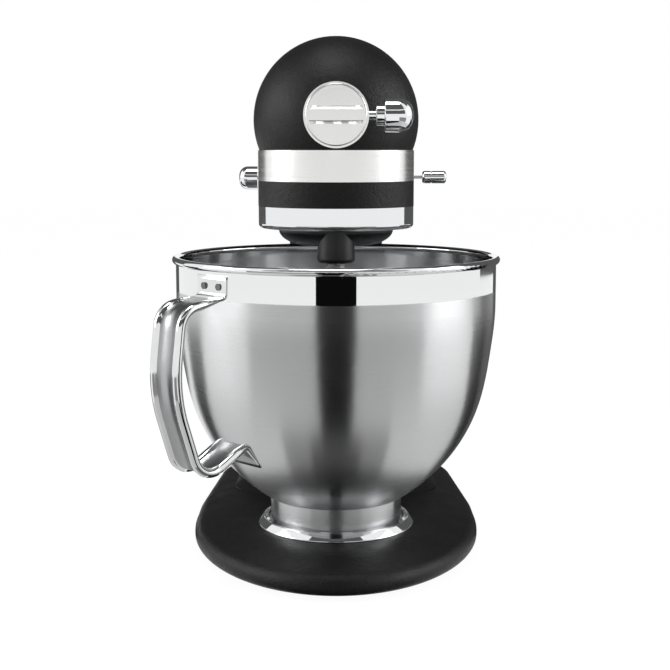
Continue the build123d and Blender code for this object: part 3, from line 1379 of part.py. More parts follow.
def brush_caps():
    """Two slotted screw caps over the brush tubes."""
    inner = wall_x() + BRUSH_CAP_HEIGHT / 2
    outer = inner + BRUSH_CAP_HEIGHT
    caps = []
    for side in (1, -1):
        near, far = sorted((side * inner, side * outer))
        cap = bar_x(BRUSH_CAP_RADIUS, near, far, BRUSH_Y, DRIVE_AXIS_Z)
        half = BRUSH_CAP_HEIGHT / 2
        slot_near, slot_far = sorted((side * (outer - half), side * BIG))
        low, high = DRIVE_AXIS_Z - half, DRIVE_AXIS_Z + half
        cap -= block(slot_near, slot_far, BRUSH_Y - BIG, BRUSH_Y + BIG, low, high)
        caps.append(cap)
    return caps


# Attachment hub
def attachment_hub():
    """The socket on the nose that attachments push into."""
    hub = bar_y(HUB_RADIUS, HUB_FRONT, HUB_SEAT) + bar_y(HUB_SPIGOT_RADIUS, HUB_SEAT, HUB_SPIGOT_REAR)
    hub -= bar_y(HUB_BORE_RADIUS, -BIG, HUB_BORE_REAR)
    hub -= bar_y(HUB_BUSH_RADIUS, -BIG, 0)
    hub -= case_prism(CASE_LOW_Z, SPLIT_Z + RUNNING_FIT, BAND_THICKNESS + RUNNING_FIT)
    return hub - bar_x(KNOB_SCREW_RADIUS + RUNNING_FIT, 0, BIG, KNOB_Y, DRIVE_AXIS_Z)


def hub_bush():
    """The bush that the hub's drive shaft turns in."""
    return ring_y(HUB_BUSH_RADIUS, HUB_SHAFT_RADIUS + RUNNING_FIT, HUB_BORE_REAR, HUB_SPIGOT_REAR)


def bevel_back():
    """Where the hub's mitre gear ends, in front of the centre shaft."""
    return -(GEAR_MODULE * BEVEL_TEETH / 2 + BEVEL_BACKING)


def hub_drive_shaft():
    """The level shaft behind the hub, with a square socket at its front."""
    rear = -GEAR_MODULE * BEVEL_TEETH / 2
    shaft = bar_y(HUB_SHAFT_RADIUS, HUB_BORE_REAR, bevel_back())
    shaft += bar_y(MOTOR_SHAFT_RADIUS, bevel_back(), rear)
    half = HUB_SOCKET_HALF
    low, high = DRIVE_AXIS_Z - half, DRIVE_AXIS_Z + half
    return shaft - block(-half, half, HUB_BORE_REAR - 1, HUB_BORE_REAR + HUB_SOCKET_DEPTH, low, high)


def hub_bevel_gear():
    """The mitre gear that turns the hub's shaft."""
    gear = bevel(180.0 / BEVEL_TEETH - 90.0)
    gear -= upright(MOTOR_SHAFT_RADIUS, -BIG, BIG)
    return Pos(0, 0, DRIVE_AXIS_Z) * Rot(-90, 0, 0) * gear


def hub_cover():
    """The round cover over the hub: a rim, two sunk halves and a grip bar between them."""
    front = HUB_FRONT - HUB_COVER_DEPTH
    disc = bar_y(HUB_COVER_RADIUS, front, HUB_FRONT)
    disc = fillet(disc.edges().group_by(Axis.Y)[0], BALL_FACE)
    sunk = bar_y(HUB_COVER_RADIUS - HUB_COVER_RIM, front - 1, front + HUB_COVER_RECESS)
    half = HUB_COVER_BAR / 2
    wide = half + HUB_COVER_BEVEL
    floor = front + HUB_COVER_RECESS
    lower = [(front - 1, -half), (front, -half), (floor, -wide)]
    corners = lower + [(y, -z) for y, z in reversed(lower)]
    bar_face = make_face(Polyline(*corners, close=True))
    sunk -= Pos(0, 0, DRIVE_AXIS_Z) * extrude(Plane.YZ * bar_face, HUB_COVER_RADIUS, both=True)
    disc -= sunk
    plug = bar_y(HUB_BORE_RADIUS - 2 * RUNNING_FIT, HUB_FRONT, HUB_FRONT + HUB_PLUG_DEPTH)
    return disc + plug


def attachment_knob():
    """The domed thumb knob that clamps an attachment."""
    knob = bar_x(KNOB_RADIUS, KNOB_IN, KNOB_OUT, KNOB_Y, DRIVE_AXIS_Z)
    knob = fillet(knob.edges().group_by(Axis.X)[-1], KNOB_DOME)
    knob = fillet(knob.edges().group_by(Axis.X)[0], BALL_FACE)
    return knob - bar_x(KNOB_SCREW_RADIUS, 0, KNOB_OUT - KNOB_DOME, KNOB_Y, DRIVE_AXIS_Z)


def knob_screw():
    """The knob's screw with its collar."""
    screw = bar_x(KNOB_SCREW_RADIUS, KNOB_SCREW_IN, KNOB_OUT - KNOB_DOME, KNOB_Y, DRIVE_AXIS_Z)
    collar = bar_x(KNOB_COLLAR_RADIUS, KNOB_COLLAR_IN, KNOB_IN, KNOB_Y, DRIVE_AXIS_Z)
    return screw + fillet(collar.edges().group_by(Axis.X)[0], BALL_FACE)


# Levers
def speed_lever():
    """The speed lever's stem and the bar that slides inside the housing."""
    half = LEVER_THICKNESS / 2
    width = SPEED_STEM_WIDTH / 2
    stem_out = SPEED_KNOB_IN + SPEED_KNOB_RADIUS
    stem = block(SPEED_BAR_X, stem_out, SPEED_Y - width, SPEED_Y + width, LEVER_Z - half, LEVER_Z + half)
    length = SPEED_BAR_LENGTH / 2
    inner = SPEED_BAR_X - SPEED_BAR_THICKNESS
    front, rear = SPEED_Y - length, SPEED_Y + length
    return stem + block(inner, SPEED_BAR_X, front, rear, speed_bar_low(), LEVER_Z + half)


def speed_knob():
    """The small straight knob on the speed lever, with a groove round its inner end."""
    knob = bar_x(SPEED_KNOB_RADIUS, SPEED_KNOB_IN, SPEED_KNOB_OUT, SPEED_Y, LEVER_Z)
    knob = fillet(knob.edges().group_by(Axis.X)[-1], SPEED_KNOB_RADIUS * 0.4)
    knob = fillet(knob.edges().group_by(Axis.X)[0], SPEED_KNOB_RADIUS * 0.4)
    groove_in = SPEED_KNOB_IN + SPEED_GROOVE_FROM_END
    groove = bar_x(BIG, groove_in, groove_in + SPEED_GROOVE_WIDTH, SPEED_Y, LEVER_Z)
    knob -= groove - bar_x(SPEED_KNOB_RADIUS - SPEED_GROOVE_DEPTH, 0, BIG, SPEED_Y, LEVER_Z)
    return knob - speed_lever()


def lock_bar():
    """The lock lever's stem, leg and arm, with the bolt that enters the catch."""
    half = LEVER_THICKNESS / 2
    width = LOCK_STEM_WIDTH / 2
    front, rear = LOCK_Y - width, LOCK_Y + width
    low = LOCK_BOLT_Z - half
    stem = block(-LOCK_KNOB_IN - LOCK_KNOB_RADIUS, -LOCK_LEG_X, front, rear, LEVER_Z - half, LEVER_Z + half)
    leg = block(-LOCK_LEG_X, -LOCK_LEG_X + LEVER_THICKNESS, front, rear, low, LEVER_Z + half)
    arm = block(-LOCK_LEG_X, 0, front, rear, low, LOCK_BOLT_Z + half)
    return stem + leg + arm + bar_y(LOCK_BOLT_RADIUS, front, LOCK_BOLT_TIP, 0, LOCK_BOLT_Z)


def lock_knob():
    """The domed knob on the lock lever."""
    knob = bar_x(LOCK_KNOB_RADIUS, -LOCK_KNOB_OUT, -LOCK_KNOB_IN, LOCK_Y, LEVER_Z)
    knob = fillet(knob.edges().group_by(Axis.X)[0], LOCK_KNOB_RADIUS * 0.75)
    return knob - lock_bar()



def all_pieces():
    """Every node of the mixer, by name."""
    return {
        "base_casting": base_casting(),
        "rubber_feet": rubber_feet(),
        "pedestal": pedestal() - catch_seat(),
        "pedestal_screws": pedestal_screws(),
        "hinge_pin": hinge_pin(),
        "pin_set_screw": pin_set_screw(),
        "height_adjust_screw": height_adjust_screw(),
        "lock_catch": lock_catch(),
        "bowl_clamp_plate": bowl_clamp_plate(),
        "clamp_plate_screws": clamp_plate_screws(),
        "bowl_shell": bowl_shell(),
        "bowl_foot": bowl_foot(),
        "bowl_handle": bowl_handle(),
        "handle_rivets": handle_rivets(),
        "gearcase": gearcase(),
        "upper_housing": upper_housing(),
        "rear_cover": rear_cover(),
        "trim_band": trim_band(),
        "housing_screws": housing_screws(),
        "rear_cover_screws": rear_cover_screws(),
        "cord_gland": cord_gland(),
        "drip_ring": drip_ring(),
        "ring_gear": ring_gear(),
        "centre_bush": centre_bush(),
        "intermediate_bush": intermediate_bush(),
        "front_bracket": front_bracket(),
        "rear_bracket": rear_bracket(),
        "front_bearing": bearing(FRONT_BEARING_Y),
        "rear_bearing": bearing(REAR_BEARING_Y),
        "motor_stator": motor_stator(),
        "stator_windings": stator_windings(),
        "carbon_brushes": carbon_brushes(),
        "brush_holders": brush_holders(),
        "brush_caps": brush_caps(),
        "speed_board": speed_board(),
        "attachment_hub": attachment_hub(),
        "hub_bush": hub_bush(),
        "motor_shaft": motor_shaft(),
        "armature_core": armature_core(),
        "commutator": commutator(),
        "cooling_fan": cooling_fan(),
        "intermediate_shaft": intermediate_shaft(),
        "worm_wheel": worm_wheel(),
        "centre_shaft": centre_shaft(),
        "centre_gear": centre_gear(),
        "planetary_carrier": planetary_carrier(),
        "carrier_pin": carrier_pin(),
        "beater_shaft": beater_shaft(),
        "beater_pinion": beater_pinion(),
        "beater_cross_pin": beater_cross_pin(),
        "hub_drive_shaft": hub_drive_shaft(),
        "hub_bevel_gear": hub_bevel_gear(),
        "hub_cover": hub_cover(),
        "attachment_knob": attachment_knob(),
        "knob_screw": knob_screw(),
        "speed_lever": speed_lever(),
        "speed_knob": speed_knob(),
        "lock_bar": lock_bar(),
        "lock_knob": lock_knob(),
    }


os.makedirs("parts", exist_ok=True)
for node, shape in all_pieces().items():
    solids = shape if isinstance(shape, list) else [shape]
    placed = [Pos(0, BOWL_AXIS_Y, 0) * solid for solid in solids]
    export_step(placed[0] if len(placed) == 1 else Compound(children=placed), f"parts/{node}.step")
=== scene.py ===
import json
import math

import bmesh
import bpy
from mathutils import Matrix, Vector


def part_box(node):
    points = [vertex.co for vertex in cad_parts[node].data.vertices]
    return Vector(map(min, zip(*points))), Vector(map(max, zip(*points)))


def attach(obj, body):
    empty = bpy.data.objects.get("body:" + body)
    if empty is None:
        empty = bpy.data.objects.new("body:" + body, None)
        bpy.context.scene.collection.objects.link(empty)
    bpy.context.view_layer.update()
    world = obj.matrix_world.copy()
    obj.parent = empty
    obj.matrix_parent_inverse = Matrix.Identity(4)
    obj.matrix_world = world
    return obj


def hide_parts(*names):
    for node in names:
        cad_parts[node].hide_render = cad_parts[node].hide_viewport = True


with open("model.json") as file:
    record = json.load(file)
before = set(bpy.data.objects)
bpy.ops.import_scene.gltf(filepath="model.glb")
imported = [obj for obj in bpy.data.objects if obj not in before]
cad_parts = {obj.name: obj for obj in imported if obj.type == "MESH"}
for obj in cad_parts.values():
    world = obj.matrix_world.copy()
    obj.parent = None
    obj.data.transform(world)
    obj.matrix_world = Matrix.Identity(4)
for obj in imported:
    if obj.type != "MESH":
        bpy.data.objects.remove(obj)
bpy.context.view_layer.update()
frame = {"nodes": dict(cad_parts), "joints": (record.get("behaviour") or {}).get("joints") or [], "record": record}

# Angles are in degrees. The bowl, its handle and its clamp plate are in millimetres, and so are the
# camera's sensor and lens. All other lengths are in metres.
MM = 0.001

# Places of the solids: the bowl turns on the axis x = 0, y = BOWL_Y, and its clamp plate stands on the deck
BOWL_Y = next(joint["pos_m"][1] for joint in frame["joints"] if joint["name"] == "bowl_twist")
DECK_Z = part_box("bowl_clamp_plate")[0].z / MM

# Camera, fitted to the photograph's frame
CAMERA_X = -0.0007
CAMERA_DISTANCE = 0.888
CAMERA_HEIGHT = 0.279
CAMERA_PITCH = 8.03
CAMERA_SENSOR = 36.0
CAMERA_LENS = 70.4

# Bowl: height of the lower edge of its polished band, and how far that edge is blurred each way
POLISHED_BAND_LOW_Z = 186.5
POLISHED_BAND_BLUR = 0.4

# Handle path in its own upright plane, as (radius, height), with the rounding of each inner corner
HANDLE_AZIMUTH = 225.0
HANDLE_CORNERS = [
    (109.2, 202.0),
    (109.2, 188.5),
    (141.5, 183.0),
    (148.2, 133.5),
    (128.5, 74.2),
    (92.4, 93.2),
    (82.4, 77.4),
]
HANDLE_ROUNDS = [3.0, 14.0, 90.0, 14.0, 3.0]
HANDLE_SPACING = 3.0

# Handle across its path, a strap with a thin web and rolled edges, and the length of the plate at its top
HANDLE_WIDTH = 28.0
HANDLE_HALF_WEB = 0.95
HANDLE_BEAD_RADIUS = 3.1
HANDLE_BEAD_STEPS = 14
HANDLE_PLATE_LENGTH = 15.0

# Shares of the handle's length: where the rolled edges begin and end, over how much they grow and fade,
# and how much of each end bends round the bowl
ROLL_START = 0.09
ROLL_GROWTH = 0.06
ROLL_END = 0.97
ROLL_FADE = 0.1
HUG_TOP = 0.09
HUG_FOOT = 0.07

# Clamp plate's outline, as (radius, height above the deck), with the rounding of each inner corner
PLATE_CORNERS = [
    (0.0, 0.0),
    (54.0, 0.0),
    (54.0, 1.0),
    (50.5, 5.4),
    (49.0, 5.4),
    (49.0, 2.2),
    (0.0, 2.2),
]
PLATE_ROUNDS = [0.2, 0.8, 1.0, 0.4, 0.3]
PLATE_STEPS = 144
TAB_RADII = (47.0, 49.2)
TAB_HEIGHTS = (3.8, 5.4)
TAB_ANGLE = 26.0
TAB_STEPS = 8
TAB_COUNT = 4

# Floor, which shows white to the camera, and the world's two levels: as it is seen, and as plain light
FLOOR_SIZE = 12.0
FLOOR_DROP = 0.0004
FLOOR_COLOR = (0.95, 0.95, 0.95)
FLOOR_ROUGHNESS = 0.6
FLOOR_GLOW = 1.06
FLOOR_GLOW_SHARE = 0.9
WHITE = (1.0, 1.0, 1.0, 1.0)
WORLD_SEEN = 1.0
WORLD_LIGHT = 0.3

# Square soft lamps: name, place, size and power in watts
SOFTBOX_AIM = (0, BOWL_Y, 0.2)
SOFTBOXES = [
    ("softbox_left", (-1.5, -0.2, 0.75), 0.9, 9.0),
    ("softbox_right", (1.5, -0.2, 0.75), 0.9, 9.0),
    ("softbox_top", (-0.1, -0.25, 1.9), 0.8, 11.0),
]

# Cards that only mirrors see: their levels of light, and the azimuths from the front, the distances from the
# bowl's axis and the heights that several of them share
FLAG_LEVELS = {"black": 0.004, "dark": 0.1, "grey": 0.28, "middle": 0.6, "pale": 0.7}
FLAG_STEPS = 12
FLAG_LIFT = 0.001
FRONT_EDGE = 9.9
NEAR_EDGE = 18
SIDE_EDGE = 38
FLOOR_EDGE = 60
LEFT_REAR_EDGE = -106
RIGHT_REAR_EDGE = 108
BACK_EDGE = 165
NEAR_RING = (0.1, 0.19)
MIDDLE_RING = (0.19, 0.45)
FAR_RING = (0.45, 1.2)
SIDE_RING = (0.1, 0.4)
WALL = 1.3
CEILING_Z = 2.3
ON_FLOOR = (FLAG_LIFT, FLAG_LIFT)

# Each card: name, azimuths of its two ends, distances and heights of its two edges, and level
FLAGS = [
    ("flag_front", (-FRONT_EDGE, FRONT_EDGE), (0.2, 0.2), (0.03, 0.215), "black"),
    ("flag_front_low", (-FRONT_EDGE, FRONT_EDGE), MIDDLE_RING, ON_FLOOR, "black"),
    ("flag_front_floor", (-NEAR_EDGE, NEAR_EDGE), NEAR_RING, ON_FLOOR, "dark"),
    ("flag_left_near", (-SIDE_EDGE, -NEAR_EDGE), NEAR_RING, ON_FLOOR, "grey"),
    ("flag_right_near", (NEAR_EDGE, SIDE_EDGE), NEAR_RING, ON_FLOOR, "grey"),
    ("flag_left_floor", (-FLOOR_EDGE, -FRONT_EDGE), MIDDLE_RING, ON_FLOOR, "middle"),
    ("flag_right_floor", (FRONT_EDGE, FLOOR_EDGE), MIDDLE_RING, ON_FLOOR, "middle"),
    ("flag_left_far", (-FLOOR_EDGE, -FRONT_EDGE), FAR_RING, ON_FLOOR, "grey"),
    ("flag_right_far", (FRONT_EDGE, FLOOR_EDGE), FAR_RING, ON_FLOOR, "grey"),
    ("flag_left_side", (LEFT_REAR_EDGE, -SIDE_EDGE), SIDE_RING, ON_FLOOR, "pale"),
    ("flag_right_side", (SIDE_EDGE, RIGHT_REAR_EDGE), SIDE_RING, ON_FLOOR, "pale"),
    ("flag_left_edge", (-130, LEFT_REAR_EDGE), (0.1, 0.95), ON_FLOOR, "black"),
    ("flag_right_edge", (RIGHT_REAR_EDGE, 132), (0.1, 1.5), ON_FLOOR, "black"),
    ("flag_right_rear", (132, 168), (0.1, 1.5), ON_FLOOR, "dark"),
    ("flag_left_back", (-BACK_EDGE, -125), (WALL, WALL), (0.15, 1.6), "dark"),
    ("flag_right_back", (118, BACK_EDGE), (WALL, WALL), (0.08, 1.6), "dark"),
    ("flag_back_high", (BACK_EDGE, 360 - BACK_EDGE), (1.6, 1.6), (0.55, CEILING_Z), "dark"),
    ("flag_back_low", (140, 220), (0.55, 0.55), (0.0, 0.19), "dark"),
    ("flag_front_high", (-50, 50), (WALL, WALL), (0.45, 1.0), "dark"),
    ("flag_ceiling", (90, 270), (0.0, 2.2), (CEILING_Z, CEILING_Z), "dark"),
    ("flag_ceiling_front", (-50, 50), (0.0, WALL), (CEILING_Z, 1.2), "dark"),
]


# Nodes of a material or a world
def add_node(owner, kind):
    """A new node of a material or a world."""
    return owner.node_tree.nodes.new(kind)


def join(owner, source, target):
    """A link from one node's output to another's input."""
    owner.node_tree.links.new(source, target)


def feed(owner, socket, value):
    """An input takes a plain number, or is joined to another node's output."""
    if isinstance(value, float):
        socket.default_value = value
    else:
        join(owner, value, socket)


def calculate(owner, operation, *values):
    """The result of plain arithmetic on numbers and outputs of nodes."""
    node = add_node(owner, "ShaderNodeMath")
    node.operation = operation
    for socket, value in zip(node.inputs, values):
        feed(owner, socket, value)
    return node.outputs["Value"]


def mix_shaders(owner, share, first, second):
    """Two shaders mixed, the second at a share."""
    node = add_node(owner, "ShaderNodeMixShader")
    join(owner, share, node.inputs["Fac"])
    join(owner, first, node.inputs[1])
    join(owner, second, node.inputs[2])
    return node.outputs["Shader"]


def seen_directly(owner, share):
    """A share for rays from the camera, mirrors and glass."""
    path = add_node(owner, "ShaderNodeLightPath")
    mirrored = calculate(owner, "MAXIMUM", path.outputs["Is Camera Ray"], path.outputs["Is Glossy Ray"])
    seen = calculate(owner, "MAXIMUM", mirrored, path.outputs["Is Transmission Ray"])
    return calculate(owner, "MULTIPLY", seen, share)


def show(owner, shader, output="Material Output"):
    """A material or a world shows a shader."""
    join(owner, shader, owner.node_tree.nodes[output].inputs["Surface"])


# Textures of a material
def shader_of(material):
    """The principled shader of a material."""
    return material.node_tree.nodes["Principled BSDF"]


def new_material(name, color, metallic, roughness):
    """A material with one principled shader, whose constant values are set on its sockets."""
    material = bpy.data.materials.new(name)
    material.use_nodes = True
    shader = shader_of(material)
    shader.inputs["Base Color"].default_value = (*color, 1.0)
    shader.inputs["Metallic"].default_value = metallic
    shader.inputs["Roughness"].default_value = roughness
    return material


def object_coordinates(material, stretch=(1.0, 1.0, 1.0)):
    """Object coordinates, stretched for grain that runs one way."""
    coordinates = add_node(material, "ShaderNodeTexCoord")
    mapping = add_node(material, "ShaderNodeMapping")
    mapping.inputs["Scale"].default_value = stretch
    join(material, coordinates.outputs["Object"], mapping.inputs["Vector"])
    return mapping.outputs["Vector"]


def noise(material, vector, scale, detail=2.0, roughness=0.5):
    """A noise texture's value."""
    texture = add_node(material, "ShaderNodeTexNoise")
    texture.inputs["Scale"].default_value = scale
    texture.inputs["Detail"].default_value = detail
    texture.inputs["Roughness"].default_value = roughness
    join(material, vector, texture.inputs["Vector"])
    return texture.outputs["Fac"]


def remap(material, value, low, high, from_low=0.3, from_high=0.7):
    """A value moved from one range to another."""
    node = add_node(material, "ShaderNodeMapRange")
    node.inputs["From Min"].default_value = from_low
    node.inputs["From Max"].default_value = from_high
    node.inputs["To Min"].default_value = low
    node.inputs["To Max"].default_value = high
    join(material, value, node.inputs["Value"])
    return node.outputs["Result"]


def vary_roughness(material, value, low, high):
    """The shader's roughness follows a texture's value between two levels."""
    join(material, remap(material, value, low, high), shader_of(material).inputs["Roughness"])


def vary_color(material, value, stops):
    """The shader's colour follows a value along (place, colour) stops."""
    node = add_node(material, "ShaderNodeValToRGB")
    for element, (place, color) in zip(node.color_ramp.elements, stops):
        element.position = place
        element.color = (*color, 1.0)
    join(material, value, node.inputs["Fac"])
    join(material, node.outputs["Color"], shader_of(material).inputs["Base Color"])


def add_bump(material, height, strength, distance):
    """A bump on the shader's normal from a height value."""
    bump = add_node(material, "ShaderNodeBump")
    feed(material, bump.inputs["Strength"], strength)
    bump.inputs["Distance"].default_value = distance
    join(material, height, bump.inputs["Height"])
    join(material, bump.outputs["Normal"], shader_of(material).inputs["Normal"])


# Materials
def textured_black():
    """Cast metal under a finely wrinkled black enamel."""
    material = new_material("textured_black", (0.006, 0.0061, 0.0065), metallic=0.0, roughness=0.4)
    vector = object_coordinates(material)
    fine = noise(material, vector, scale=1150.0, detail=3.0, roughness=0.55)
    pebble = noise(material, vector, scale=320.0)
    pebble_share = 0.8
    wrinkles = calculate(material, "MULTIPLY_ADD", pebble, pebble_share, fine)
    add_bump(material, wrinkles, strength=0.7, distance=0.0005)
    vary_roughness(material, noise(material, vector, scale=60.0, detail=3.0), low=0.34, high=0.44)
    vary_color(material, fine, [(0.35, (0.004, 0.0041, 0.0044)), (0.7, (0.008, 0.0082, 0.0087))])
    shader_of(material).inputs["Specular IOR Level"].default_value = 0.28
    return material


def smooth_black():
    """Smooth satin black enamel on the planetary."""
    material = new_material("smooth_black", (0.005, 0.005, 0.0055), metallic=0.0, roughness=0.36)
    vector = object_coordinates(material)
    add_bump(material, noise(material, vector, scale=380.0), strength=0.1, distance=0.0004)
    vary_roughness(material, noise(material, vector, scale=70.0), low=0.32, high=0.42)
    return material


def chrome_metal():
    """Bright plating with a faint polish wave."""
    material = new_material("chrome", (0.82, 0.83, 0.84), metallic=1.0, roughness=0.05)
    vector = object_coordinates(material)
    vary_roughness(material, noise(material, vector, scale=160.0), low=0.03, high=0.08)
    add_bump(material, noise(material, vector, scale=45.0), strength=0.02, distance=0.0008)
    return material


def satin_metal(name, color, roughness, grain):
    """Brushed bare metal, with its grain along the axes of least stretch."""
    material = new_material(name, color, metallic=1.0, roughness=roughness)
    lines = noise(material, object_coordinates(material, grain), scale=1.0, detail=3.0, roughness=0.6)
    vary_roughness(material, lines, low=roughness - 0.03, high=roughness + 0.04)
    add_bump(material, lines, strength=0.025, distance=0.0002)
    groove_share = 0.9
    groove = tuple(channel * groove_share for channel in color)
    vary_color(material, lines, [(0.3, groove), (0.7, color)])
    return material


def polished_share(material):
    """A value that is one on the bowl's polished band and nought below it."""
    split = add_node(material, "ShaderNodeSeparateXYZ")
    join(material, object_coordinates(material), split.inputs["Vector"])
    low = (POLISHED_BAND_LOW_Z - POLISHED_BAND_BLUR) * MM
    high = (POLISHED_BAND_LOW_Z + POLISHED_BAND_BLUR) * MM
    return remap(material, split.outputs["Z"], 0.0, 1.0, from_low=low, from_high=high)


def bowl_metal():
    """Stainless sheet brushed round the bowl, with a mirror-polished band under the rim."""
    material = new_material("bowl_steel", (0.62, 0.625, 0.63), metallic=1.0, roughness=0.3)
    shader = shader_of(material)
    vector = object_coordinates(material, (6.0, 6.0, 2600.0))
    lines = noise(material, vector, scale=1.0, detail=4.0, roughness=0.6)
    polished = polished_share(material)
    polished_roughness = 0.04
    mix = add_node(material, "ShaderNodeMix")
    join(material, polished, mix.inputs["Factor"])
    join(material, remap(material, lines, low=0.27, high=0.3), mix.inputs["A"])
    mix.inputs["B"].default_value = polished_roughness
    join(material, mix.outputs["Result"], shader.inputs["Roughness"])
    vary_color(material, polished, [(0.0, (0.66, 0.665, 0.67)), (1.0, (0.82, 0.825, 0.83))])
    shader.inputs["Anisotropic"].default_value = 0.85
    shader.inputs["Anisotropic Rotation"].default_value = 0.25
    tangent = add_node(material, "ShaderNodeTangent")
    tangent.direction_type = "RADIAL"
    tangent.axis = "Z"
    join(material, tangent.outputs["Tangent"], shader.inputs["Tangent"])
    brushed_bump = 0.015
    strength = calculate(material, "MULTIPLY_ADD", polished, -brushed_bump, brushed_bump)
    add_bump(material, lines, strength, distance=0.0002)
    return material


def rubber_black():
    """Dull black rubber with a fine grain."""
    material = new_material("rubber", (0.022, 0.022, 0.022), metallic=0.0, roughness=0.75)
    vector = object_coordinates(material)
    add_bump(material, noise(material, vector, scale=900.0, detail=3.0), strength=0.25, distance=0.0003)
    vary_roughness(material, noise(material, vector, scale=90.0), low=0.68, high=0.82)
    return material


def moulded_plastic(name, color):
    """Plastic with the fine grain of its mould."""
    material = new_material(name, color, metallic=0.0, roughness=0.5)
    vector = object_coordinates(material)
    add_bump(material, noise(material, vector, scale=1400.0), strength=0.15, distance=0.0002)
    vary_roughness(material, noise(material, vector, scale=80.0), low=0.42, high=0.56)
    return material


def machined(name, color, roughness):
    """Turned or cast metal of the inner works."""
    material = new_material(name, color, metallic=1.0, roughness=roughness)
    grain = noise(material, object_coordinates(material), scale=500.0, detail=3.0)
    vary_roughness(material, grain, low=roughness - 0.08, high=roughness + 0.1)
    add_bump(material, grain, strength=0.08, distance=0.0003)
    return material


MATERIALS = {
    "black_paint": textured_black(),
    "dark_enamel": smooth_black(),
    "chrome": chrome_metal(),
    "band_metal": satin_metal("band_metal", (0.88, 0.88, 0.87), roughness=0.24, grain=(8.0, 8.0, 3000.0)),
    "bowl_steel": bowl_metal(),
    "steel": machined("steel", (0.45, 0.45, 0.46), roughness=0.35),
    "bright_steel": machined("bright_steel", (0.66, 0.66, 0.67), roughness=0.2),
    "bronze": machined("bronze", (0.5, 0.3, 0.12), roughness=0.35),
    "brass_metal": machined("brass_metal", (0.68, 0.5, 0.2), roughness=0.3),
    "copper": machined("copper", (0.6, 0.25, 0.12), roughness=0.35),
    "laminations": machined("laminations", (0.18, 0.18, 0.19), roughness=0.5),
    "cast_metal": machined("cast_metal", (0.42, 0.42, 0.42), roughness=0.5),
    "carbon": moulded_plastic("carbon", (0.03, 0.03, 0.03)),
    "black_plastic": moulded_plastic("black_plastic", (0.02, 0.02, 0.021)),
    "board_green": moulded_plastic("board_green", (0.02, 0.12, 0.05)),
    "rubber": rubber_black(),
}
POLISHED_STEEL = satin_metal("polished_steel", (0.8, 0.805, 0.81), roughness=0.07, grain=(60.0, 60.0, 60.0))
# The handle's two web metals are darker copies of its steel: painted shade on the inner web, painted shade and
# painted dark reflection on the outer web.
STRAP_INNER_PAINTED_SHADE = satin_metal("strap_inner_painted_shade", (0.5, 0.505, 0.51), roughness=0.3, grain=(60.0, 60.0, 60.0))
STRAP_OUTER_PAINTED_DARK = satin_metal("strap_outer_painted_dark", (0.42, 0.425, 0.43), roughness=0.3, grain=(700.0, 700.0, 30.0))
RIVET_METAL = satin_metal("rivet_metal", (0.16, 0.16, 0.165), roughness=0.3, grain=(40.0, 40.0, 40.0))
HUB_METAL = satin_metal("hub_metal", (0.86, 0.86, 0.85), roughness=0.2, grain=(40.0, 40.0, 40.0))
SLOT_OF = {part["node"]: part["material_slot"] for part in frame["record"]["subparts"]}
OWN_METAL = {"hub_cover": HUB_METAL, "attachment_hub": HUB_METAL, "handle_rivets": RIVET_METAL}


def dress_nodes():
    """Every node of the solids gets a metal of its own or the material of its slot."""
    for name, piece in frame["nodes"].items():
        piece.data.materials.clear()
        piece.data.materials.append(OWN_METAL.get(name, MATERIALS[SLOT_OF[name]]))


# Shapes
def rounded_path(corners, rounds, spacing=2.0, least_steps=4):
    """Points along straight runs and round corners, with the corners' points evenly spaced."""
    spots = [Vector(corner) for corner in corners]
    path = [spots[0]]
    for before, corner, after, radius in zip(spots, spots[1:], spots[2:], rounds):
        back = (before - corner).normalized()
        ahead = (after - corner).normalized()
        half = back.angle(ahead) / 2
        centre = corner + (back + ahead).normalized() * (radius / math.sin(half))
        start = corner + back * (radius / math.tan(half))
        sweep = math.pi - 2 * half
        turn = 1 if back.cross(ahead) < 0 else -1
        count = max(least_steps, int(radius * sweep / spacing))
        for step in range(count + 1):
            spoke = start - centre
            spoke.rotate(Matrix.Rotation(turn * sweep * step / count, 2))
            path.append(centre + spoke)
    path.append(spots[-1])
    return path


def even_path(path, spacing):
    """The same path with extra points on its long straight runs."""
    points = []
    for first, second in zip(path, path[1:]):
        count = max(1, round((second - first).length / spacing))
        points += [first.lerp(second, step / count) for step in range(count)]
    return points + [path[-1]]


def lengths_along(path):
    """The path's length up to each of its points."""
    lengths = [0.0]
    for first, second in zip(path, path[1:]):
        lengths.append(lengths[-1] + (second - first).length)
    return lengths


def wrap_rings(shape, rings):
    """A closed solid through rings of points. Its faces between the rings come back as bands."""
    bands = []
    for first, second in zip(rings, rings[1:]):
        corners = zip(first, first[1:] + first[:1], second[1:] + second[:1], second)
        bands.append([shape.faces.new(points) for points in corners])
    shape.faces.new(rings[0][::-1])
    shape.faces.new(rings[-1])
    return bands


def new_piece(name, shape, materials):
    """A piece of the scene from a finished shape."""
    mesh = bpy.data.meshes.new(name)
    shape.to_mesh(mesh)
    shape.free()
    for material in materials:
        mesh.materials.append(material)
    piece = bpy.data.objects.new(name, mesh)
    bpy.context.collection.objects.link(piece)
    return piece


# Bowl handle, a strap with rolled edges swept along its path
def handle_section(roll):
    """The strap's outline across, as (side, out): a thin web between two rolled edges."""
    bead = HANDLE_HALF_WEB + (HANDLE_BEAD_RADIUS - HANDLE_HALF_WEB) * roll
    centre = HANDLE_WIDTH / 2 - bead
    reach = math.pi - math.asin(HANDLE_HALF_WEB / bead)
    outline = []
    for step in range(HANDLE_BEAD_STEPS + 1):
        angle = reach * (1 - 2 * step / HANDLE_BEAD_STEPS)
        outline.append((centre + bead * math.cos(angle), bead * math.sin(angle)))
    return outline + [(-side, -out) for side, out in outline]


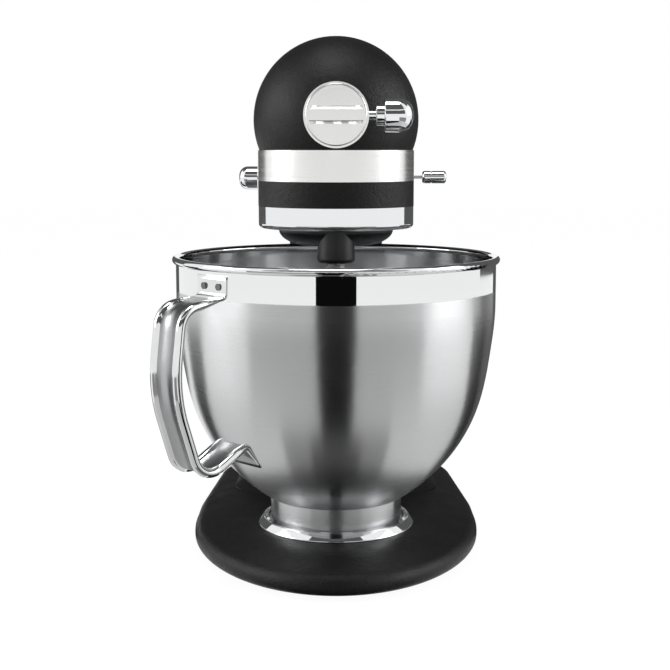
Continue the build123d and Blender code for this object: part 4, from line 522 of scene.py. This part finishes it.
def handle_shape(share):
    """How far the edges are rolled, and how much the strap hugs the bowl, along the handle."""
    growth = (share - ROLL_START) / ROLL_GROWTH
    fade = (ROLL_END - share) / ROLL_FADE
    roll = max(0.0, min(1.0, growth, fade))
    hug = max(0.0, 1 - share / HUG_TOP, 1 - (1 - share) / HUG_FOOT)
    return roll, hug


def handle_rings(shape, path, lengths):
    """The strap's outline at each point of its path, standing where the solid handle is."""
    turn = Matrix.Rotation(math.radians(HANDLE_AZIMUTH), 4, "Z")
    rings = []
    for number, spot in enumerate(path):
        before = path[max(0, number - 1)]
        after = path[min(len(path) - 1, number + 1)]
        along = (after - before).normalized()
        out = Vector((-along.y, along.x))
        roll, hug = handle_shape(lengths[number] / lengths[-1])
        ring = []
        for side, lift in handle_section(roll):
            radius = spot.x + out.x * lift - hug * side * side / (2 * spot.x)
            height = spot.y + out.y * lift
            place = turn @ Vector((radius * MM, side * MM, height * MM))
            ring.append(shape.verts.new((place.x, place.y + BOWL_Y, place.z)))
        rings.append(ring)
    return rings


def add_handle():
    """The swept handle: polished, with a brushed web that is darker outside, below the top plate; the web's darker
    colours are painted shade and painted reflection.
    """
    path = even_path(rounded_path(HANDLE_CORNERS, HANDLE_ROUNDS), HANDLE_SPACING)
    lengths = lengths_along(path)
    plate_rings = sum(length < HANDLE_PLATE_LENGTH for length in lengths)
    metals = [POLISHED_STEEL, STRAP_OUTER_PAINTED_DARK, STRAP_INNER_PAINTED_SHADE]
    shape = bmesh.new()
    bands = wrap_rings(shape, handle_rings(shape, path, lengths))
    for number, band in enumerate(bands):
        for face in band:
            face.smooth = True
        # The webs take the darker copies of the steel, which are painted shade and painted reflection.
        outer_web = band[-1]
        inner_web = band[HANDLE_BEAD_STEPS]
        inner_web.material_index = metals.index(STRAP_INNER_PAINTED_SHADE)
        if number > plate_rings:
            outer_web.material_index = metals.index(STRAP_OUTER_PAINTED_DARK)
    bmesh.ops.recalc_face_normals(shape, faces=shape.faces)
    handle = new_piece("handle", shape, metals)
    handle.visible_glossy = False
    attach(handle, "bowl")
    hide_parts("bowl_handle")


# Bowl clamp plate, a turned ring with tabs that hold the bowl's foot
def around(radius, angle, height):
    """A point round the bowl's axis, above the deck, from millimetres and degrees."""
    turn = math.radians(angle)
    return (radius * math.cos(turn) * MM, BOWL_Y + radius * math.sin(turn) * MM, (DECK_Z + height) * MM)


def turn_outline(shape, path):
    """A closed solid of revolution, from an outline that begins and ends on the axis."""
    low = shape.verts.new(around(0.0, 0.0, path[0].y))
    high = shape.verts.new(around(0.0, 0.0, path[-1].y))
    spokes = []
    for step in range(PLATE_STEPS):
        angle = 360.0 * step / PLATE_STEPS
        spokes.append([shape.verts.new(around(spot.x, angle, spot.y)) for spot in path[1:-1]])
    for spoke, following in zip(spokes, spokes[1:] + spokes[:1]):
        shape.faces.new((low, spoke[0], following[0]))
        shape.faces.new((high, following[-1], spoke[-1]))
        for points in zip(spoke, spoke[1:], following[1:], following):
            shape.faces.new(points)


def add_tab(shape, direction):
    """One inward tab, a curved block joined to the ring's bore."""
    inner, outer = TAB_RADII
    low, high = TAB_HEIGHTS
    corners = [(inner, low), (outer, low), (outer, high), (inner, high)]
    rings = []
    for step in range(TAB_STEPS + 1):
        angle = direction + TAB_ANGLE * (step / TAB_STEPS - 0.5)
        rings.append([shape.verts.new(around(radius, angle, height)) for radius, height in corners])
    wrap_rings(shape, rings)


def add_clamp_plate():
    """The plate on the deck, smooth where the solid one is cut into flats."""
    shape = bmesh.new()
    turn_outline(shape, rounded_path(PLATE_CORNERS, PLATE_ROUNDS))
    for face in shape.faces:
        face.smooth = True
    for number in range(TAB_COUNT):
        add_tab(shape, HANDLE_AZIMUTH + 360.0 / TAB_COUNT * (number + 0.5))
    bmesh.ops.recalc_face_normals(shape, faces=shape.faces)
    plate = new_piece("clamp_plate", shape, [MATERIALS["chrome"]])
    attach(plate, "stand")
    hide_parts("bowl_clamp_plate")


# Floor, light and camera
def glow(material, strength):
    """A shader that gives one even level of light."""
    node = add_node(material, "ShaderNodeEmission")
    node.inputs["Strength"].default_value = strength
    return node.outputs["Emission"]


def floor_material():
    """A pale floor that shows white to the camera and keeps the object's shadow."""
    material = new_material("floor", FLOOR_COLOR, metallic=0.0, roughness=FLOOR_ROUGHNESS)
    seen = seen_directly(material, FLOOR_GLOW_SHARE)
    pale = shader_of(material).outputs["BSDF"]
    show(material, mix_shaders(material, seen, pale, glow(material, FLOOR_GLOW)))
    return material


def add_floor():
    """A wide floor just under the mixer's feet."""
    bpy.ops.mesh.primitive_plane_add(size=FLOOR_SIZE, location=(0, 0, -FLOOR_DROP))
    floor = bpy.context.object
    floor.name = "floor"
    floor.data.materials.append(floor_material())


def set_world():
    """A white studio for the camera and for mirrors, and a softer grey for plain light."""
    world = bpy.data.worlds.new("studio")
    bpy.context.scene.world = world
    world.use_nodes = True
    white = world.node_tree.nodes["Background"]
    grey = add_node(world, "ShaderNodeBackground")
    for background, strength in ((white, WORLD_SEEN), (grey, WORLD_LIGHT)):
        background.inputs["Color"].default_value = WHITE
        background.inputs["Strength"].default_value = strength
    seen = seen_directly(world, 1.0)
    studio = mix_shaders(world, seen, grey.outputs["Background"], white.outputs["Background"])
    show(world, studio, "World Output")


def add_softbox(name, place, size, power):
    """A soft square lamp aimed at the mixer."""
    lamp = bpy.data.lights.new(name, "AREA")
    lamp.shape = "SQUARE"
    lamp.size = size
    lamp.energy = power
    piece = bpy.data.objects.new(name, lamp)
    piece.location = place
    aim = Vector(SOFTBOX_AIM) - piece.location
    piece.rotation_euler = aim.to_track_quat("-Z", "Y").to_euler()
    bpy.context.collection.objects.link(piece)


def flag_material(name, level):
    """A card that shows mirrors one even level of light."""
    material = bpy.data.materials.new(name)
    material.use_nodes = True
    show(material, glow(material, level))
    return material


def add_flag(name, azimuths, distances, heights, material):
    """A curved card round the bowl's axis that only mirrors see, like a studio flag."""
    shape = bmesh.new()
    begin, end = azimuths
    rows = []
    for step in range(FLAG_STEPS + 1):
        angle = math.radians(begin + (end - begin) * step / FLAG_STEPS)
        row = []
        for distance, height in zip(distances, heights):
            place = (distance * math.sin(angle), BOWL_Y - distance * math.cos(angle), height)
            row.append(shape.verts.new(place))
        rows.append(row)
    for first, second in zip(rows, rows[1:]):
        shape.faces.new((first[0], second[0], second[1], first[1]))
    card = new_piece(name, shape, [material])
    card.visible_camera = False
    card.visible_diffuse = False
    card.visible_shadow = False


def add_flags():
    """Dark and grey cards round the mixer, which give its bright metal the bands of a studio."""
    levels = {name: flag_material("flag_" + name, level) for name, level in FLAG_LEVELS.items()}
    for name, azimuths, distances, heights, level in FLAGS:
        add_flag(name, azimuths, distances, heights, levels[level])


def add_camera():
    """The camera in front of the bowl, tipped a little down."""
    camera = bpy.data.cameras.new("camera")
    camera.sensor_width = CAMERA_SENSOR
    camera.lens = CAMERA_LENS
    piece = bpy.data.objects.new("camera", camera)
    piece.location = (CAMERA_X, BOWL_Y - CAMERA_DISTANCE, CAMERA_HEIGHT)
    piece.rotation_euler = (math.radians(90.0 - CAMERA_PITCH), 0.0, 0.0)
    bpy.context.collection.objects.link(piece)
    bpy.context.scene.camera = piece


dress_nodes()
add_handle()
add_clamp_plate()
add_floor()
set_world()
for softbox in SOFTBOXES:
    add_softbox(*softbox)
add_flags()
add_camera()
bpy.context.scene.view_settings.view_transform = "Standard"
